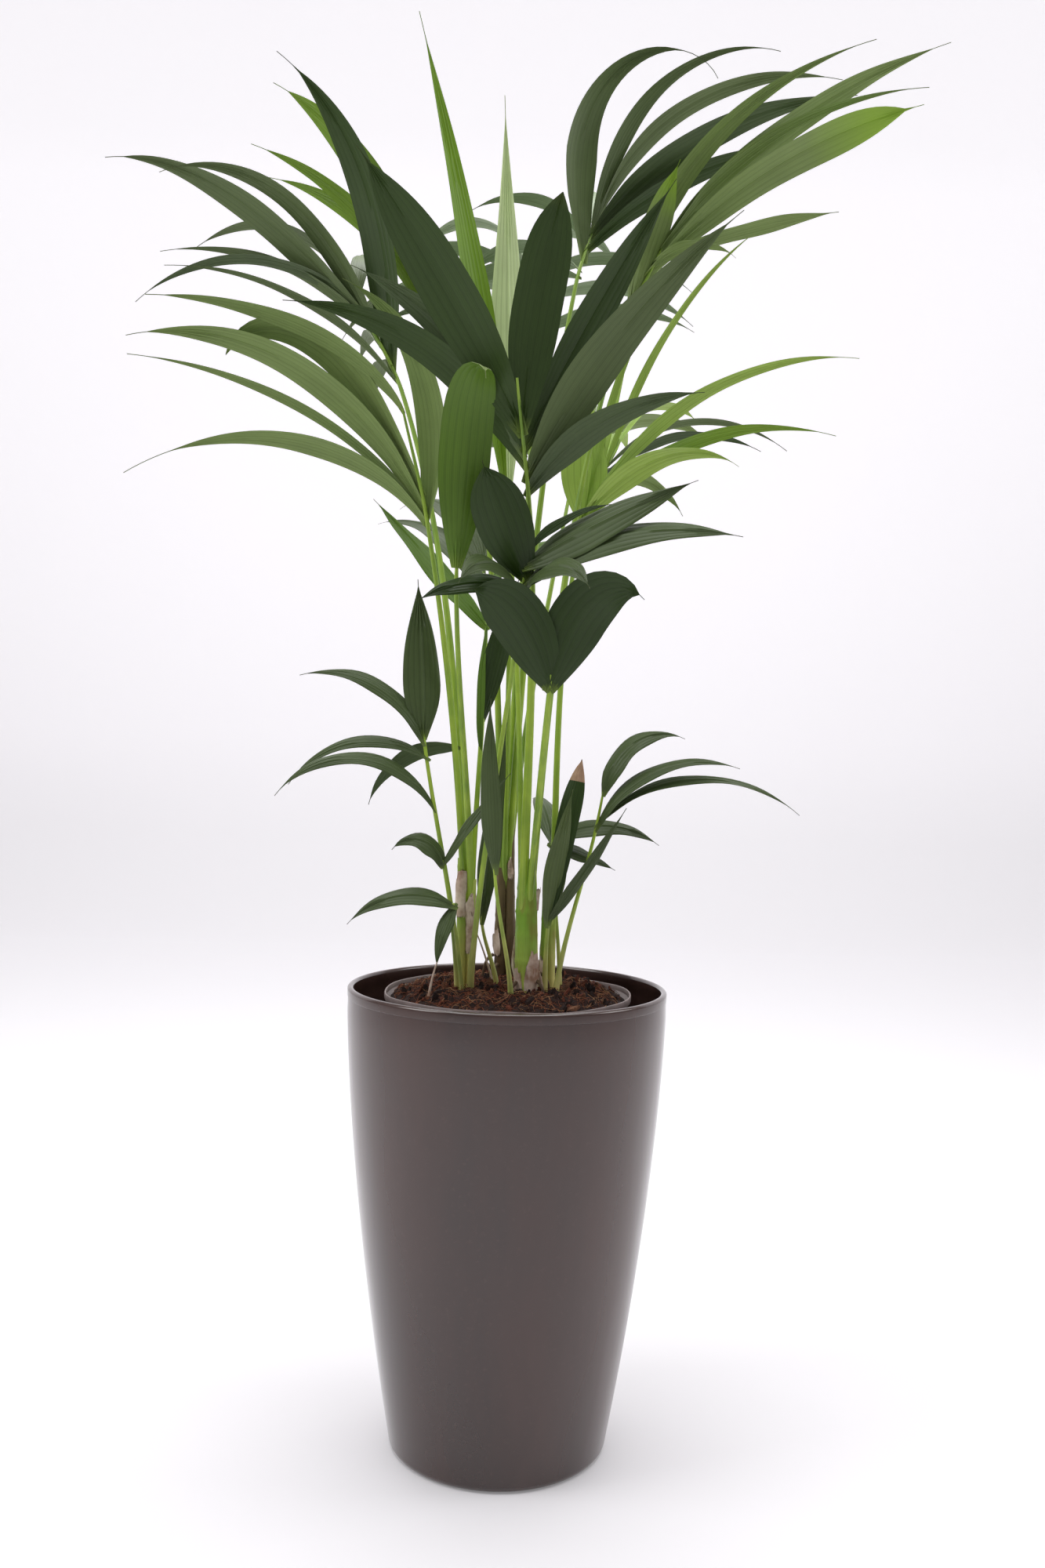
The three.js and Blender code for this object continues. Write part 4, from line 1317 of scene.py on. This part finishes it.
class KENTIA_OT_stage(bpy.types.Operator):
    """Sets the pale floor and backdrop, the soft lights and the camera"""

    bl_idname = "kentia.stage"
    bl_label = "Stage"

    CAMERA = (0.013, -1.700, 0.850)
    PITCH = -0.63
    ROLL = 1.38
    LENS = 30.86
    SENSOR = 36
    DEPTH = 12  # from the middle of the floor to its far edge, where the wall rises
    # name, place, what it faces, its side, its share of the key light's power
    LIGHTS = (
        ("top", (0.0, 0.2, 4.4), (0, 0.1, 0), 4.0, 1.0),
        ("left", (-2.4, -0.8, 2.6), (0, 0, 1.1), 1.4, 0.16),
        ("right", (2.4, 0.0, 2.2), (0, 0, 1.1), 1.2, 0.08),
    )

    def execute(self, context):
        settings = context.scene.kentia_stage
        self.backdrop()
        self.world(context.scene, settings)
        for name, place, target, size, share in self.LIGHTS:
            self.light(name, place, target, size, settings.key * share)
        self.camera(context.scene)
        context.scene.view_settings.view_transform = "Standard"
        return {"FINISHED"}

    def backdrop(self):
        """A floor that sweeps up into a wall at its far edge."""
        bpy.ops.object.select_all(action="DESELECT")
        bpy.ops.mesh.primitive_plane_add(size=2 * self.DEPTH, location=(0, -6.4, 0))
        floor = bpy.context.object
        floor.name = "studio_floor"
        bpy.ops.object.mode_set(mode="EDIT")
        bpy.ops.mesh.select_mode(type="EDGE")
        bpy.ops.mesh.select_all(action="DESELECT")
        self.select_far_edge(floor)
        bpy.ops.mesh.extrude_region_move(TRANSFORM_OT_translate={"value": (0, 0, 6)})
        self.select_far_edge(floor)
        bpy.ops.mesh.bevel(offset=1.0, segments=14, affect="EDGES")
        bpy.ops.object.mode_set(mode="OBJECT")
        bpy.ops.object.transform_apply(location=True)
        floor.data.materials.append(stage_material((214, 212, 215)))
        smooth(floor, 40)

    def select_far_edge(self, floor):
        """Selects the edge of the floor where the wall rises, and goes back to edit mode."""
        bpy.ops.object.mode_set(mode="OBJECT")
        for edge in floor.data.edges:
            ends = [floor.data.vertices[v].co for v in edge.vertices]
            edge.select = all(co.y > self.DEPTH - 0.1 and co.z < 0.1 for co in ends)
        bpy.ops.object.mode_set(mode="EDIT")

    def world(self, scene, settings):
        world = bpy.data.worlds.new("studio")
        world.use_nodes = True
        background = world.node_tree.nodes["Background"]
        background.inputs["Color"].default_value = (1.0, 0.99, 1.0, 1.0)
        background.inputs["Strength"].default_value = settings.world
        scene.world = world

    def light(self, name, place, target, size, power):
        """A square soft light that looks at a target."""
        way = Vector(target) - Vector(place)
        turn = way.to_track_quat("-Z", "Y").to_euler()
        bpy.ops.object.light_add(type="AREA", location=place, rotation=turn)
        light = bpy.context.object
        light.name = "light_" + name
        light.data.size = size
        light.data.energy = power

    def camera(self, scene):
        tilt = Matrix.Rotation(math.radians(90 + self.PITCH), 4, "X")
        roll = Matrix.Rotation(math.radians(self.ROLL), 4, "Z")
        bpy.ops.object.camera_add(location=self.CAMERA, rotation=(tilt @ roll).to_euler())
        camera = bpy.context.object
        camera.name = "camera"
        camera.data.lens = self.LENS
        camera.data.sensor_width = self.SENSOR
        scene.camera = camera


class KENTIA_PT_sidebar(bpy.types.Panel):
    """Buttons and sizes of the potted kentia"""

    bl_idname = "KENTIA_PT_sidebar"
    bl_label = "Potted kentia palm"
    bl_space_type = "VIEW_3D"
    bl_region_type = "UI"
    bl_category = "Kentia"

    def draw(self, context):
        for group, operators in LAYOUT.items():
            box = self.layout.box()
            settings = getattr(context.scene, group)
            for key in settings.__annotations__:
                box.prop(settings, key)
            for operator in operators:
                box.operator(operator.bl_idname)


SETTINGS = {
    "kentia_planter": KentiaPlanterSettings,
    "kentia_soil": KentiaSoilSettings,
    "kentia_leaves": KentiaLeafSettings,
    "kentia_stage": KentiaStageSettings,
}
LAYOUT = {
    "kentia_planter": (KENTIA_OT_planter, KENTIA_OT_pots),
    "kentia_soil": (KENTIA_OT_soil,),
    "kentia_leaves": (KENTIA_OT_stems, KENTIA_OT_papers, KENTIA_OT_stalks, KENTIA_OT_leaflets),
    "kentia_stage": (KENTIA_OT_stage,),
}
OPERATORS = [operator for group in LAYOUT.values() for operator in group]


def register():
    """Adds the settings, the operators and the panel to Blender."""
    for kind in (*SETTINGS.values(), *OPERATORS, KENTIA_PT_sidebar):
        bpy.utils.register_class(kind)
    for name, kind in SETTINGS.items():
        setattr(bpy.types.Scene, name, bpy.props.PointerProperty(type=kind))


def unregister():
    """Takes them out again."""
    for name in SETTINGS:
        delattr(bpy.types.Scene, name)
    for kind in (KENTIA_PT_sidebar, *reversed(OPERATORS), *reversed(list(SETTINGS.values()))):
        bpy.utils.unregister_class(kind)


def main():
    """Makes every piece and the stage."""
    register()
    for operator in OPERATORS:
        getattr(bpy.ops.kentia, operator.bl_idname.split(".")[1])()


if __name__ == "__main__":
    main()
